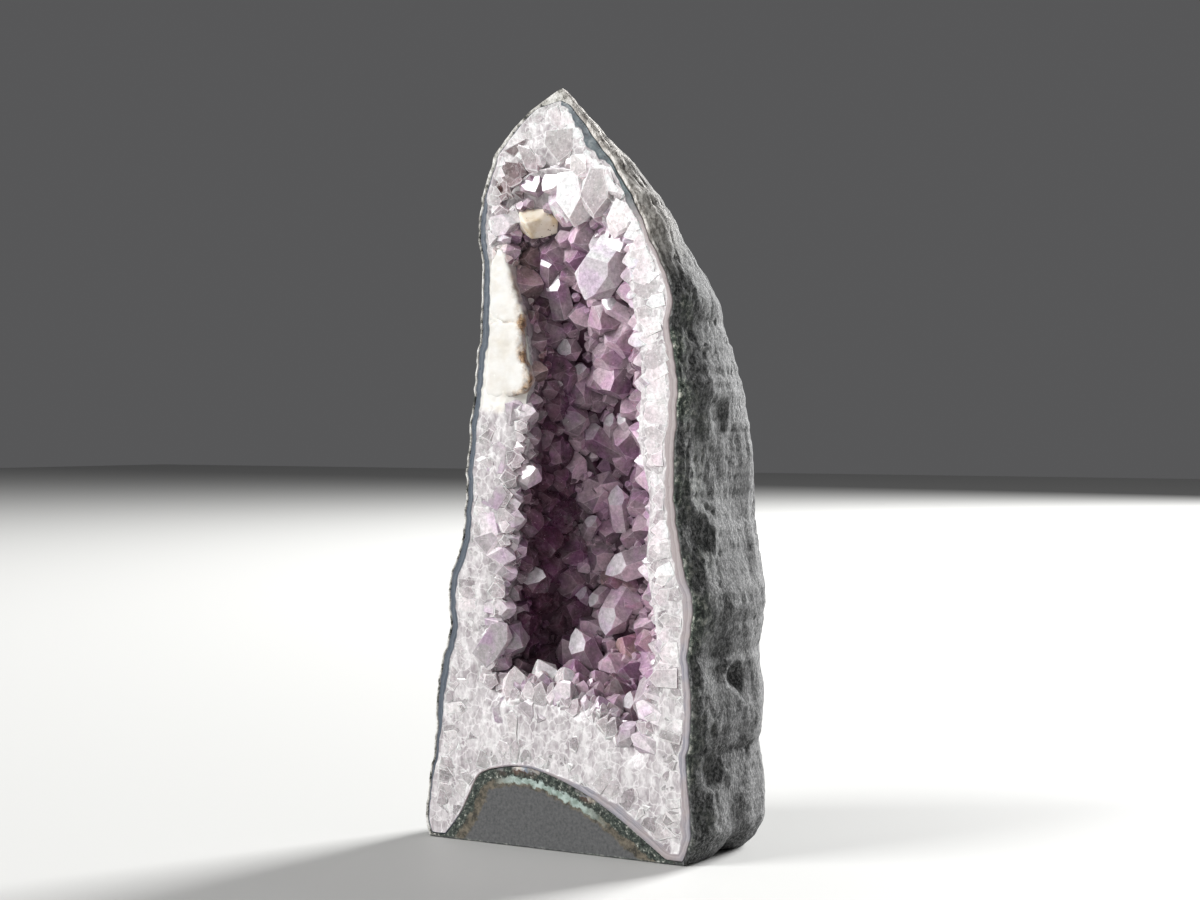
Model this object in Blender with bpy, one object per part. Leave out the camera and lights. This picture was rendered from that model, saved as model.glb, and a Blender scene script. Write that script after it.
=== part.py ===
"""A tall half geode of amethyst, sawn open along its height and cut flat to stand.

Two pieces, one grown inside the other: the basalt, and the crust of agate, quartz and
amethyst that lines its hollow. Metres, +Z up. The sawn face looks along -Y, and the
origin is the middle of the footprint. Points are worked out in the face's own frame
(across, into the rock, up) and the two objects are moved to the origin at the end.
"""

import math
import random

import bmesh
import bpy
from mathutils import Euler, Matrix, Vector, noise

MM = 0.001

# Where the face's frame stands, so that the origin is the middle of the whole object's foot
FACE_ACROSS = -1.37 * MM
FACE_PLANE = -46.39 * MM

# Body
HEIGHT = 310 * MM
BODY_DEPTH = 91.5 * MM
APEX_DEPTH = 3 * MM
DOME_START = 150 * MM
DOME_POWER = 1.5
DOME_FALL = 1.28
SIDE_BULGE = 3.2 * MM
WIDEST_SHARE = 0.30
SECTION_POWER = 2.5
BASE_ROUNDING = 14 * MM
BASE_INSET = 3.5 * MM

# Left and right edges of the sawn face, across and up in mm
LEFT_EDGE = (
    (-63, 0), (-64.6, 9), (-60.5, 38), (-58, 65), (-53.2, 86), (-51.5, 110), (-45, 130),
    (-42.5, 156), (-39.6, 188), (-37, 212), (-35.6, 240), (-36.6, 257), (-33, 274),
    (-27, 287), (-12, 301), (4.3, 310),
)
RIGHT_EDGE = (
    (62.6, 0), (67.2, 13), (65.2, 36), (67, 58), (66, 85), (67.6, 104), (62, 122),
    (59, 155), (60.6, 190), (57.5, 210), (58.4, 223), (53, 238), (42.5, 260), (32, 277),
    (18, 294), (4.3, 310),
)

APEX_ACROSS = LEFT_EDGE[-1][0] * MM

# Outer edge of the crust where it rides over the mound of basalt, left to right in mm
MOUND_ARCH = (
    (-54.5, 1.2), (-46.5, 11), (-41.5, 20), (-36.5, 28), (-26, 31.5), (-13.5, 32.5),
    (0, 29.8), (13.5, 25), (23.5, 20.3), (33, 15), (43, 8.6), (54.5, 1.2),
)
CRUST_FOOT = 1.2 * MM
LIP = 1.3 * MM
CRUST_SHOULDER = 293 * MM
CRUST_TOP = 305.5 * MM
SIDE_STEPS = 15

# Wall of the open hollow before the crystals, anticlockwise from the lower right in mm
HOLLOW_EDGE = (
    (44, 42), (47, 56), (50, 72), (52, 88), (50.5, 105), (48.5, 122), (48.5, 145),
    (44.5, 167), (45, 190), (43, 210), (40.5, 230), (40, 248), (32, 263), (20, 276),
    (4, 281), (-12, 280), (-23, 274), (-29, 261), (-29, 245), (-25, 228), (-21, 212),
    (-19, 198), (-20, 183), (-20, 167), (-25, 150), (-26, 136), (-28.5, 120), (-31, 104),
    (-34, 88), (-36, 72), (-32, 60), (-18, 59), (-4, 58), (10, 56), (23, 52), (33, 43),
)

# Both hollows are swept from one centre on the face, across and up
BOWL_CENTRE = Vector((2 * MM, 0, 112 * MM))
BOWL_POWER = 2.4
ROCK_BOWL_SHARE = 0.64
HOLLOW_SHARE = 0.50
BOWL_RINGS = 5
PIECE_GAP = 0.4 * MM
STRAIGHT_RIM = 0.15 * MM
FRONT_CLEARANCE = 12 * MM
FLAT_ANGLE = math.radians(0.05)
SHARP_ANGLE = math.radians(40)

# Quartz: the face of a point leans this far from the crystal's axis
POINT_FACE_LEAN = math.radians(51.8)
SIGHT_ANGLE = math.radians(33.4)

# Large crystals that stand out. Where the sight line to the tip crosses the sawn face
# (across, up in mm), width in mm, then in degrees: which way the tip leans as seen
# (clockwise from up), how far it leans from the sight line, and its turn on its axis.
LARGE_CRYSTALS = (
    (-5, 265, 12, 200, 20, 10), (8, 254, 12, 178, 48, 30), (4, 276, 12, 180, 40, 0),
    (19, 262, 9, 170, 40, 30), (-17, 263, 10, 120, 40, 15), (26, 254, 8, 230, 25, 0),
    (-1, 243, 9, 160, 30, 0), (1, 233, 9, 150, 30, 40), (22, 246, 9, 200, 30, 20),
    (14, 220, 18, 215, 38, 18), (32, 242, 10, 190, 40, 0), (31, 223, 10, 230, 35, 25),
    (24, 212, 12, 200, 30, 50), (8, 209, 14, 60, 14, 30), (15.5, 197, 6, 0, 5, 20),
    (29, 206, 12, 240, 25, 10), (37, 199, 9, 250, 40, 30), (-5, 212, 10, 100, 30, 0),
    (28, 186, 14, 200, 30, 15), (9, 194, 12, 90, 20, 45), (-9, 178, 11, 90, 45, 20),
    (14, 180, 12, 150, 25, 10), (11, 170, 15, 300, 15, 35), (31, 164, 12, 250, 30, 0),
    (-13, 161, 13, 85, 50, 25), (-8, 156, 10, 60, 30, 10), (-13, 143, 12, 90, 45, 40),
    (33, 144, 11, 340, 20, 30), (20, 142, 12, 270, 25, 0), (17, 134, 14, 350, 22, 28),
    (-18, 133, 12, 80, 50, 10), (-14, 123, 15, 95, 40, 35), (-7, 110, 15, 110, 30, 5),
    (29, 112, 16, 230, 22, 20), (15, 104, 8, 30, 25, 0), (-25, 90, 13, 60, 35, 15),
    (-10, 94, 11, 60, 25, 30), (10, 97, 12, 300, 20, 5), (12, 87, 11, 350, 14, 30),
    (27, 88, 16, 200, 30, 12), (41, 82, 10, 270, 30, 30), (-14, 81, 12, 120, 35, 0),
    (8, 69, 9, 20, 45, 25), (-19, 66, 14, 10, 60, 20), (-5, 67, 12, 15, 60, 40),
    (4, 61, 10, 40, 50, 0), (18, 60, 14, 350, 50, 30), (46, 70, 11, 280, 50, 10),
    (46, 50, 14, 200, 50, 0), (31, 52, 11, 330, 35, 15),
)

# The smaller crystals between them
SEED = 33
FILL_TRIES = 6000
FILL_WIDTHS = (11 * MM, 16.5 * MM)
FILL_SPACING = 0.86
ROOT_DEPTH = 9 * MM

# Cream calcite block near the top of the hollow: place as above, then its edges
CALCITE_PLACE = (-7.5, 257)
CALCITE_EDGES = (12 * MM, 12 * MM, 11 * MM)
CALCITE_SKEW = 0.25
CALCITE_TURN = Euler((math.radians(25), math.radians(-28), math.radians(20)))

# Rock skin
SKIN_STEP = 11.7 * MM
SKIN_TURNS = 29
EDGE_FADE = 10 * MM
RELIEF_SEED = 27
LUMPS = ((30 * MM, 2.4 * MM, 1.5), (13 * MM, 1.2 * MM, 1.3))
RIDGE_SPACING = 24 * MM
RIDGE_RISE = 1.8 * MM
BASALT_COLOUR = (0.072, 0.074, 0.078)
BASALT_ROUGHNESS = 0.85
AMETHYST_COLOUR = (0.52, 0.40, 0.56)
AMETHYST_ROUGHNESS = 0.25

# Pits and notches in the skin: across, into the rock, up, then radius and depth, in mm
PITS = (
    (68, 31, 72, 7, 4.0), (62, 33, 0, 12, 5.0), (65, 10, 130, 9, 3.0), (68, 12, 36, 8, 3.0),
    (32, 43, 240, 7, 2.0), (62, 28, 176, 8, 2.5), (-58, 40, 120, 9, 3.5), (-46, 50, 196, 8, 3.0),
    (10, 92, 90, 11, 3.5), (-25, 88, 160, 10, 3.0), (38, 84, 130, 9, 3.0), (-66, 30, 30, 10, 3.5),
)


def follow(edge, height):
    """Across value of a smooth curve through the edge's points, at this height."""
    points = [(across * MM, up * MM) for across, up in edge]
    last = len(points) - 1
    slopes = []
    for i in range(last + 1):
        before = points[max(i - 1, 0)]
        after = points[min(i + 1, last)]
        slopes.append((after[0] - before[0]) / (after[1] - before[1]))
    span = 0
    while span < last - 1 and height > points[span + 1][1]:
        span += 1
    start, end = points[span], points[span + 1]
    length = end[1] - start[1]
    t = min(max((height - start[1]) / length, 0), 1)
    return (
        start[0] * (1 + 2 * t) * (1 - t) ** 2
        + slopes[span] * length * t * (1 - t) ** 2
        + end[0] * t * t * (3 - 2 * t)
        + slopes[span + 1] * length * t * t * (t - 1)
    )


def body_depth(height):
    """How far the rock reaches behind the face: a straight foot under a leaning dome."""
    rise = max(height - DOME_START, 0) / (HEIGHT - DOME_START)
    share = max(1 - rise**DOME_POWER, 0) ** DOME_FALL
    return APEX_DEPTH + (BODY_DEPTH - APEX_DEPTH) * share


def signed_power(value, power):
    return math.copysign(abs(value) ** power, value)


def smooth_skin(height, turn):
    """Point of the smooth skin; turn runs 0 to 1 from the right edge round to the left."""
    left = follow(LEFT_EDGE, height)
    right = follow(RIGHT_EDGE, height)
    depth = body_depth(height)
    half = max((right - left) / 2, 0.5 * MM)
    wide = half + SIDE_BULGE * math.sqrt(depth / BODY_DEPTH)
    overhang = 1 - (half / wide) ** SECTION_POWER
    widest = WIDEST_SHARE * depth
    front = widest / overhang ** (1 / SECTION_POWER)
    start = math.asin(math.sqrt(overhang))
    angle = -start + turn * (math.pi + 2 * start)
    across = wide * signed_power(math.cos(angle), 2 / SECTION_POWER)
    reach = front if math.sin(angle) < 0 else depth - widest
    into = widest + reach * signed_power(math.sin(angle), 2 / SECTION_POWER)
    return Vector(((left + right) / 2 + across, max(into, 0), height))


def skin_relief(point):
    """Height of the lumps, ridges and pits at a point of the skin."""
    rise = 0
    shift = Vector((1.7, 2.3, 0.9)) * RELIEF_SEED
    for size, height, stretch in LUMPS:
        place = Vector((point.x, point.y, point.z / stretch)) / size
        rise += height * noise.noise(place + shift)
    ridge = noise.noise(Vector((point.x, point.y, point.z / 3)) / RIDGE_SPACING + shift)
    rise += RIDGE_RISE * (0.5 - 2 * abs(ridge))
    for across, into, up, radius, depth in PITS:
        away = (point - Vector((across, into, up)) * MM).length / (radius * MM)
        if away < 1:
            rise -= depth * MM * (1 - away * away)
    return rise


def skin_point(height, turn):
    """The smooth skin with its relief, tucked in near the foot, true at the face's edges."""
    smooth = smooth_skin(height, turn)
    across_middle = (follow(LEFT_EDGE, height) + follow(RIGHT_EDGE, height)) / 2
    outward = smooth - Vector((across_middle, WIDEST_SHARE * body_depth(height), height))
    outward.normalize()
    size = min(1, body_depth(height) / (0.4 * BODY_DEPTH))
    low = max(1 - height / BASE_ROUNDING, 0)
    move = skin_relief(smooth) * size - BASE_INSET * low * low
    moved = smooth + outward * move * min(1, smooth.y / EDGE_FADE)
    moved.y = max(moved.y, 0)
    return moved


def new_object(name, bm):
    bmesh.ops.triangulate(bm, faces=bm.faces)
    bmesh.ops.recalc_face_normals(bm, faces=bm.faces)
    mesh = bpy.data.meshes.new(name)
    bm.to_mesh(mesh)
    bm.free()
    made = bpy.data.objects.new(name, mesh)
    bpy.context.scene.collection.objects.link(made)
    return made


def make_body():
    """The whole rock before its hollow is cut: horizontal rings, closed at foot and apex."""
    bm = bmesh.new()
    steps = round((HEIGHT - 2.5 * SKIN_STEP) / SKIN_STEP)
    heights = [0, 3 * MM, BASE_ROUNDING / 1.5]
    heights += [SKIN_STEP * (i + 1.6) for i in range(steps)]
    heights += [HEIGHT - drop * MM for drop in (13, 9, 5.5, 3, 1)]
    rings = []
    for height in heights:
        turns = [i / SKIN_TURNS for i in range(SKIN_TURNS + 1)]
        rings.append([bm.verts.new(skin_point(height, turn)) for turn in turns])
    for lower, upper in zip(rings, rings[1:]):
        for i in range(SKIN_TURNS + 1):
            j = (i + 1) % (SKIN_TURNS + 1)
            bm.faces.new((lower[i], lower[j], upper[j], upper[i]))
    bm.faces.new(rings[0])
    apex = bm.verts.new((APEX_ACROSS, 0.4 * APEX_DEPTH, HEIGHT))
    for i in range(SKIN_TURNS + 1):
        bm.faces.new((rings[-1][i], rings[-1][(i + 1) % (SKIN_TURNS + 1)], apex))
    return new_object("body", bm)


def crust_edge():
    """Outer edge of the crust on the face, anticlockwise from the foot of the right leg."""
    heights = [CRUST_FOOT + (CRUST_SHOULDER - CRUST_FOOT) * i / SIDE_STEPS for i in range(SIDE_STEPS)]
    heights += [CRUST_SHOULDER, (CRUST_SHOULDER + CRUST_TOP) / 2]
    right = [Vector((follow(RIGHT_EDGE, height) - LIP, 0, height)) for height in heights]
    left = [Vector((follow(LEFT_EDGE, height) + LIP, 0, height)) for height in heights]
    top = [Vector((APEX_ACROSS, 0, CRUST_TOP))]
    arch = [Vector((across, 0, up)) * MM for across, up in MOUND_ARCH]
    return right + top + left[::-1] + arch


def inset(edge, distance):
    """The same closed outline, anticlockwise, with every side moved inwards."""
    moved = []
    for i, point in enumerate(edge):
        sides = []
        for start, end in ((edge[i - 1], point), (point, edge[(i + 1) % len(edge)])):
            along = (end - start).normalized()
            sides.append(Vector((-along.z, 0, along.x)))
        middle = (sides[0] + sides[1]).normalized()
        moved.append(point + middle * distance / max(middle.dot(sides[0]), 0.5))
    return moved


def hollow_edge():
    return [Vector((across, 0, up)) * MM for across, up in HOLLOW_EDGE]


def bowl_point(edge_point, dip, share):
    """Point of a bowl below this edge point; dip runs from 0 at the edge to 1 at the centre."""
    angle = dip * math.pi / 2
    reach = math.cos(angle) ** (2 / BOWL_POWER)
    sink = math.sin(angle) ** (2 / BOWL_POWER)
    point = BOWL_CENTRE + (edge_point - BOWL_CENTRE) * reach
    point.y = share * body_depth(point.z) * sink
    return point


def make_bowl(name, edge, share, front, gap=0):
    """A closed solid swept in from an edge on the face: front stands out, gap holds it back."""
    bm = bmesh.new()
    edge = inset(edge, gap)
    back = Vector((0, gap, 0))
    rings = []
    for into in (-front, STRAIGHT_RIM):
        rings.append([bm.verts.new(point + Vector((0, into, 0))) for point in edge])
    for k in range(1, BOWL_RINGS):
        dip = k / BOWL_RINGS
        rings.append([bm.verts.new(bowl_point(point, dip, share) - back) for point in edge])
    count = len(edge)
    for outer, inner in zip(rings, rings[1:]):
        for i in range(count):
            j = (i + 1) % count
            bm.faces.new((outer[i], outer[j], inner[j], inner[i]))
    bm.faces.new(rings[0])
    deepest = bm.verts.new(bowl_point(BOWL_CENTRE, 1, share) - back)
    for i in range(count):
        bm.faces.new((rings[-1][i], rings[-1][(i + 1) % count], deepest))
    return new_object(name, bm)


def edge_crossing(edge, direction):
    """Distance from the bowl's centre to an edge on the face, along this direction."""
    far = 0
    for start, end in zip(edge, edge[1:] + edge[:1]):
        a = start - BOWL_CENTRE
        b = end - BOWL_CENTRE
        run = b - a
        cross = direction.x * run.z - direction.z * run.x
        if abs(cross) < 1e-12:
            continue
        along = (a.x * run.z - a.z * run.x) / cross
        share = (a.x * direction.z - a.z * direction.x) / cross
        if 0 <= share <= 1 and along > far:
            far = along
    return far


def in_hollow(point, edge):
    """Whether a point is in the open hollow."""
    flat = Vector((point.x, 0, point.z)) - BOWL_CENTRE
    if flat.length < 1e-6:
        return point.y < HOLLOW_SHARE * BODY_DEPTH
    share = flat.length / edge_crossing(edge, flat.normalized())
    if share >= 1:
        return False
    sink = (1 - share**BOWL_POWER) ** (1 / BOWL_POWER)
    return point.y < HOLLOW_SHARE * body_depth(point.z) * sink


def crystal(name, tip, axis, width, length, turn, wear):
    """A quartz crystal: a six-sided prism cut by six leaning faces that meet near the tip."""
    bm = bmesh.new()
    corner = width / 2 / math.cos(math.radians(30))
    rings = []
    for height, grow in ((-length, 1.06), (width, 1)):
        angles = [math.radians(60 * i + 30) for i in range(6)]
        places = [(math.cos(a) * corner * grow, math.sin(a) * corner * grow, height) for a in angles]
        rings.append([bm.verts.new(place) for place in places])
    for i in range(6):
        j = (i + 1) % 6
        bm.faces.new((rings[0][i], rings[0][j], rings[1][j], rings[1][i]))
    bm.faces.new(rings[0][::-1])
    bm.faces.new(rings[1])
    for i in range(6):
        angle = math.radians(60 * i)
        facing = Vector((math.cos(angle), math.sin(angle), 0)) * math.sin(POINT_FACE_LEAN)
        facing.z = math.cos(POINT_FACE_LEAN)
        cut = bmesh.ops.bisect_plane(
            bm,
            geom=bm.verts[:] + bm.edges[:] + bm.faces[:],
            plane_co=(0, 0, -wear[i] * width / 2),
            plane_no=facing,
            clear_outer=True,
        )
        rim = [item for item in cut["geom_cut"] if isinstance(item, bmesh.types.BMEdge)]
        if len(rim) > 2:
            bmesh.ops.edgeloop_fill(bm, edges=rim)
    aside = axis.orthogonal().normalized()
    frame = Matrix((aside, axis.cross(aside), axis)).transposed().to_4x4()
    bm.transform(Matrix.Translation(tip) @ frame @ Matrix.Rotation(turn, 4, "Z"))
    return new_object(name, bm)


def random_wear(chance):
    """How far each of the six point faces is set back: three large faces, three small."""
    wear = []
    for i in range(6):
        if i % 2 == 0:
            wear.append(chance.uniform(0.22, 0.50))
        else:
            wear.append(chance.uniform(0.0, 0.16))
    return wear


def large_crystal(number, edge, chance):
    """One of the crystals that stand out, moved back along the sight line to its wall."""
    across, up, width, lean_way, lean, turn = LARGE_CRYSTALS[number]
    width *= MM
    to_viewer = Vector((math.sin(SIGHT_ANGLE), -math.cos(SIGHT_ANGLE), 0))
    right = Vector((math.cos(SIGHT_ANGLE), math.sin(SIGHT_ANGLE), 0))
    way = math.radians(lean_way)
    tipped = right * math.sin(way) + Vector((0, 0, math.cos(way)))
    axis = to_viewer * math.cos(math.radians(lean)) + tipped * math.sin(math.radians(lean))
    tip = Vector((across, 0, up)) * MM
    while in_hollow(tip - axis * width, edge):
        tip -= to_viewer * MM
    length = width + ROOT_DEPTH
    name = f"large_{number}"
    return crystal(name, tip, axis, width, length, math.radians(turn), random_wear(chance))


def calcite_block(edge):
    """A cream cleavage block of calcite that sits among the crystals near the top."""
    bm = bmesh.new()
    bmesh.ops.create_cube(bm, size=1)
    shear = Matrix.Shear("XY", 4, (CALCITE_SKEW, 0))
    bm.transform(CALCITE_TURN.to_matrix().to_4x4() @ shear @ Matrix.Diagonal((*CALCITE_EDGES, 1)))
    place = Vector((CALCITE_PLACE[0], 0, CALCITE_PLACE[1])) * MM
    into = Vector((-math.sin(SIGHT_ANGLE), math.cos(SIGHT_ANGLE), 0))
    while in_hollow(place + into * CALCITE_EDGES[1] / 2, edge):
        place += into * MM
    bm.transform(Matrix.Translation(place))
    return new_object("calcite", bm)


def wall_point(edge, place, dip):
    """Point of the hollow's wall; place counts along the edge's points, dip runs inwards."""
    index = int(place) % len(edge)
    after = edge[(index + 1) % len(edge)]
    return bowl_point(edge[index].lerp(after, place % 1), dip, HOLLOW_SHARE)


def wall_frame(edge, place, dip):
    """Point of the hollow's wall and the direction that leads from it into the open."""
    point = wall_point(edge, place, dip)
    aside = wall_point(edge, place + 0.2, dip) - point
    deeper = wall_point(edge, place, dip + 0.02) - point
    normal = aside.cross(deeper).normalized()
    inside = BOWL_CENTRE + Vector((0, 0.2 * BODY_DEPTH, 0))
    if normal.dot(inside - point) < 0:
        normal.negate()
    return point, normal


def fill_crystals(edge, taken, chance):
    """The smaller crystals, thrown at the wall wherever there is still room."""
    made = []
    for number in range(FILL_TRIES):
        place = chance.uniform(0, len(edge))
        dip = chance.uniform(0.04, 0.98)
        width = chance.uniform(*FILL_WIDTHS)
        jitter = Vector([chance.uniform(-1, 1) for _ in range(3)])
        turn = chance.uniform(0, math.tau)
        wear = random_wear(chance)
        foot, normal = wall_frame(edge, place, dip)
        room = [(foot - other).length / (FILL_SPACING * (width + wide) / 2) for other, wide in taken]
        if room and min(room) < 1:
            continue
        taken.append((foot, width))
        axis = (normal + 0.28 * jitter + Vector((0, -0.2, 0))).normalized()
        stand = width * (0.75 + 0.2 * jitter.x)
        tip = foot + axis * stand
        made.append(crystal(f"fill_{number}", tip, axis, width, stand + ROOT_DEPTH, turn, wear))
    return made


def make_crystals(edge):
    chance = random.Random(SEED)
    made = [large_crystal(number, edge, chance) for number in range(len(LARGE_CRYSTALS))]
    made.append(calcite_block(edge))
    widths = [crystal[2] * MM for crystal in LARGE_CRYSTALS] + [CALCITE_EDGES[0]]
    taken = []
    for one, width in zip(made, widths):
        corners = [vert.co for vert in one.data.vertices]
        taken.append((sum(corners, Vector()) / len(corners), width))
    made += fill_crystals(edge, taken, chance)
    return made


def cut(target, operand, solver="EXACT"):
    """Takes the operand away from the target, and keeps the result as the target's mesh."""
    modifier = target.modifiers.new("cut", "BOOLEAN")
    modifier.solver = solver
    modifier.object = operand
    bpy.context.view_layer.update()
    evaluated = target.evaluated_get(bpy.context.evaluated_depsgraph_get())
    result = bpy.data.meshes.new_from_object(evaluated)
    target.modifiers.clear()
    target.data = result


def merge_flat_faces(target):
    """Joins the triangles of each flat face, so that few long slivers stay."""
    bm = bmesh.new()
    bm.from_mesh(target.data)
    bmesh.ops.dissolve_limit(bm, angle_limit=FLAT_ANGLE, verts=bm.verts, edges=bm.edges)
    bmesh.ops.triangulate(bm, faces=bm.faces)
    bm.to_mesh(target.data)
    bm.free()


def remove(*objects):
    for one in objects:
        bpy.data.objects.remove(one)


def set_material(made, name, colour, roughness):
    material = bpy.data.materials.new(name)
    material.use_nodes = True
    shader = material.node_tree.nodes["Principled BSDF"]
    shader.inputs["Base Color"].default_value = (*colour, 1)
    shader.inputs["Roughness"].default_value = roughness
    shader.inputs["Metallic"].default_value = 0
    made.data.materials.clear()
    made.data.materials.append(material)


def main():
    for old in list(bpy.data.objects):
        bpy.data.objects.remove(old)
    outer = crust_edge()
    inner = hollow_edge()

    rock = make_body()
    rock.name = "basalt_matrix"
    bowl = make_bowl("bowl", outer, ROCK_BOWL_SHARE, FRONT_CLEARANCE)
    cut(rock, bowl)

    crust = make_bowl("crystal_crust", outer, ROCK_BOWL_SHARE, 0, PIECE_GAP)
    space = make_bowl("space", inner, HOLLOW_SHARE, FRONT_CLEARANCE)
    crystals = make_crystals(inner)
    for one in crystals:
        # EXACT loses the hollow where so many crystals meet.
        cut(space, one, solver="MANIFOLD")
    cut(crust, space)
    remove(bowl, space, *crystals)

    set_material(rock, "basalt", BASALT_COLOUR, BASALT_ROUGHNESS)
    set_material(crust, "amethyst", AMETHYST_COLOUR, AMETHYST_ROUGHNESS)
    for piece in (rock, crust):
        merge_flat_faces(piece)
        piece.location = (FACE_ACROSS, FACE_PLANE, 0)
    rock.data.shade_smooth()
    rock.data.set_sharp_from_angle(angle=SHARP_ANGLE)


main()
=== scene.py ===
"""The looks of a tall half geode of amethyst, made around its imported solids.

Points are worked out in the frame of the sawn face (across, into the rock, up), as the
solids are, and every mesh is moved to the object's own origin at the end.
"""

import math
import random

import bmesh
import bpy
import numpy as np
from mathutils import Euler, Matrix, Vector, geometry, kdtree, noise


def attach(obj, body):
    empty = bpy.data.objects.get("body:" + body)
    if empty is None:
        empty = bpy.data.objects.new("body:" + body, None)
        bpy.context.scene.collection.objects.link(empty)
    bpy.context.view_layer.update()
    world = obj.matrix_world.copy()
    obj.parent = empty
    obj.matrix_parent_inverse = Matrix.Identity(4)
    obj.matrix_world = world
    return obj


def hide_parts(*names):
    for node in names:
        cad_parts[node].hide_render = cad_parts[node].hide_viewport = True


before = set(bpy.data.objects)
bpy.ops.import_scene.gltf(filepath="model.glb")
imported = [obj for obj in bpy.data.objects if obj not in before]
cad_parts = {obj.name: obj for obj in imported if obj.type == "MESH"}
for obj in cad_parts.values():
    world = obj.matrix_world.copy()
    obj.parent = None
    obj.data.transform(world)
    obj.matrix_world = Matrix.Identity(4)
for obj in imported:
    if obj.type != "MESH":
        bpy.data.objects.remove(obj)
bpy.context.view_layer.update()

MM = 0.001

# Where the face's frame stands
FACE_ORIGIN = Vector((-1.37 * MM, -46.39 * MM, 0))

# Body, as in the solids
HEIGHT = 310 * MM
BODY_DEPTH = 91.5 * MM
APEX_DEPTH = 3 * MM
DOME_START = 150 * MM
DOME_POWER = 1.5
DOME_FALL = 1.28
SIDE_BULGE = 3.2 * MM
WIDEST_SHARE = 0.30
SECTION_POWER = 2.5
BASE_ROUNDING = 14 * MM
BASE_INSET = 3.5 * MM

LEFT_EDGE = (
    (-63, 0), (-64.6, 9), (-60.5, 38), (-58, 65), (-53.2, 86), (-51.5, 110), (-45, 130),
    (-42.5, 156), (-39.6, 188), (-37, 212), (-35.6, 240), (-36.6, 257), (-33, 274),
    (-27, 287), (-12, 301), (4.3, 310),
)
RIGHT_EDGE = (
    (62.6, 0), (67.2, 13), (65.2, 36), (67, 58), (66, 85), (67.6, 104), (62, 122),
    (59, 155), (60.6, 190), (57.5, 210), (58.4, 223), (53, 238), (42.5, 260), (32, 277),
    (18, 294), (4.3, 310),
)
APEX_ACROSS = LEFT_EDGE[-1][0] * MM

MOUND_ARCH = (
    (-54.5, 1.2), (-46.5, 11), (-41.5, 20), (-36.5, 28), (-26, 31.5), (-13.5, 32.5),
    (0, 29.8), (13.5, 25), (23.5, 20.3), (33, 15), (43, 8.6), (54.5, 1.2),
)
# Highest and half widest place of the sawn mound, and half the width of its arch of agate
MOUND_HEIGHT = 34 * MM
MOUND_HALF = 58 * MM
ARCH_HALF = 55 * MM
CRUST_FOOT = 1.2 * MM
LIP = 1.3 * MM
# Width in mm of the rock that shows on the face at the edge, by height
LIP_LEFT = ((0, 1.3), (20, 0.8), (262, 0.8), (274, 1.6), (292, 1.6), (310, 1.0))
LIP_RIGHT = ((0, 1.3), (60, 1.0), (235, 1.1), (258, 1.4), (285, 1.8), (310, 1.0))
CRUST_SHOULDER = 293 * MM
CRUST_TOP = 305.5 * MM

HOLLOW_EDGE = (
    (40.4, 45), (42.3, 56), (46, 72), (49.3, 88), (47, 104), (44.6, 120), (46, 144),
    (41, 167.5), (42.2, 191), (40.3, 211), (36.5, 231), (38, 245), (29, 261.5), (18.4, 272),
    (4, 278), (-11, 277), (-21, 270), (-25, 260), (-24.7, 245.5), (-18.6, 225), (-15, 208),
    (-13.5, 192), (-16, 183), (-14.5, 167), (-21.5, 147), (-21.2, 134), (-23.8, 118),
    (-26.3, 101), (-29.4, 84), (-31.5, 70), (-24, 65), (-11.2, 67), (3.7, 65.7), (13.5, 62),
    (25, 60), (32.8, 51.5),
)
BOWL_CENTRE = Vector((2 * MM, 0, 112 * MM))
BOWL_POWER = 2.4
ROCK_BOWL_SHARE = 0.64
HOLLOW_SHARE = 0.50
PIECE_GAP = 0.4 * MM
LOWEST_CRYSTAL = 9 * MM
# The flat cut underneath, as a place and the way that the cut faces
FOOT_CUT = (Vector((0, 0, 0.5 * MM)), Vector((0, 0, -1)))

# Rock skin, as in the solids
EDGE_FADE = 10 * MM
RELIEF_SEED = 27
LUMPS = ((30 * MM, 2.4 * MM, 1.5), (13 * MM, 1.2 * MM, 1.3))
RIDGE_SPACING = 24 * MM
RIDGE_RISE = 1.8 * MM
PITS = (
    (68, 31, 72, 7, 4.0), (62, 33, 0, 12, 5.0), (65, 10, 130, 9, 3.0), (68, 12, 36, 8, 3.0),
    (32, 43, 240, 7, 2.0), (62, 28, 176, 8, 2.5), (-58, 40, 120, 9, 3.5), (-46, 50, 196, 8, 3.0),
    (10, 92, 90, 11, 3.5), (-25, 88, 160, 10, 3.0), (38, 84, 130, 9, 3.0), (-66, 30, 30, 10, 3.5),
)

# Waves of the face's outline: size and depth, and how far from foot and top they fade
EDGE_WAVES = ((11 * MM, 0.9 * MM), (4.2 * MM, 0.7 * MM), (1.9 * MM, 0.35 * MM))
FOOT_FADE = 4 * MM
TOP_FADE = 8 * MM
# Grain of the skin: how near the face and the foot it fades, how far behind the face it
# crumbles, and the width of its cracks as a share of the noise
GRAIN_FADE = 1.5 * MM
CRUMB_REACH = 9 * MM
CRACK_WIDTH = 0.07

# Fineness of the visual meshes
RING_STEP = 1.15 * MM
SKIN_TURNS = 250
FACE_STEP = 0.62 * MM
MOUND_STEP = 0.9 * MM
BACK_RINGS = 7
WALL_RINGS = 24
CREAM_STEP = 0.8 * MM
# A point is on the face where it is nearer to it than this
ON_FACE = 0.01 * MM

# Where green celadonite shows most along the seam, in mm of height
GREEN_HEIGHTS = (120, 225)
GREEN_FADE = 40
SEAM_REACH = 7 * MM
# The brown strip behind the face near the top: the heights in mm where it starts, and its reach
STRIP_HEIGHTS = (228, 262)
STRIP_REACH = 9 * MM
# Where the face gets ragged towards the top, in mm of height
RAGGED_HEIGHTS = (235, 260)
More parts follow.
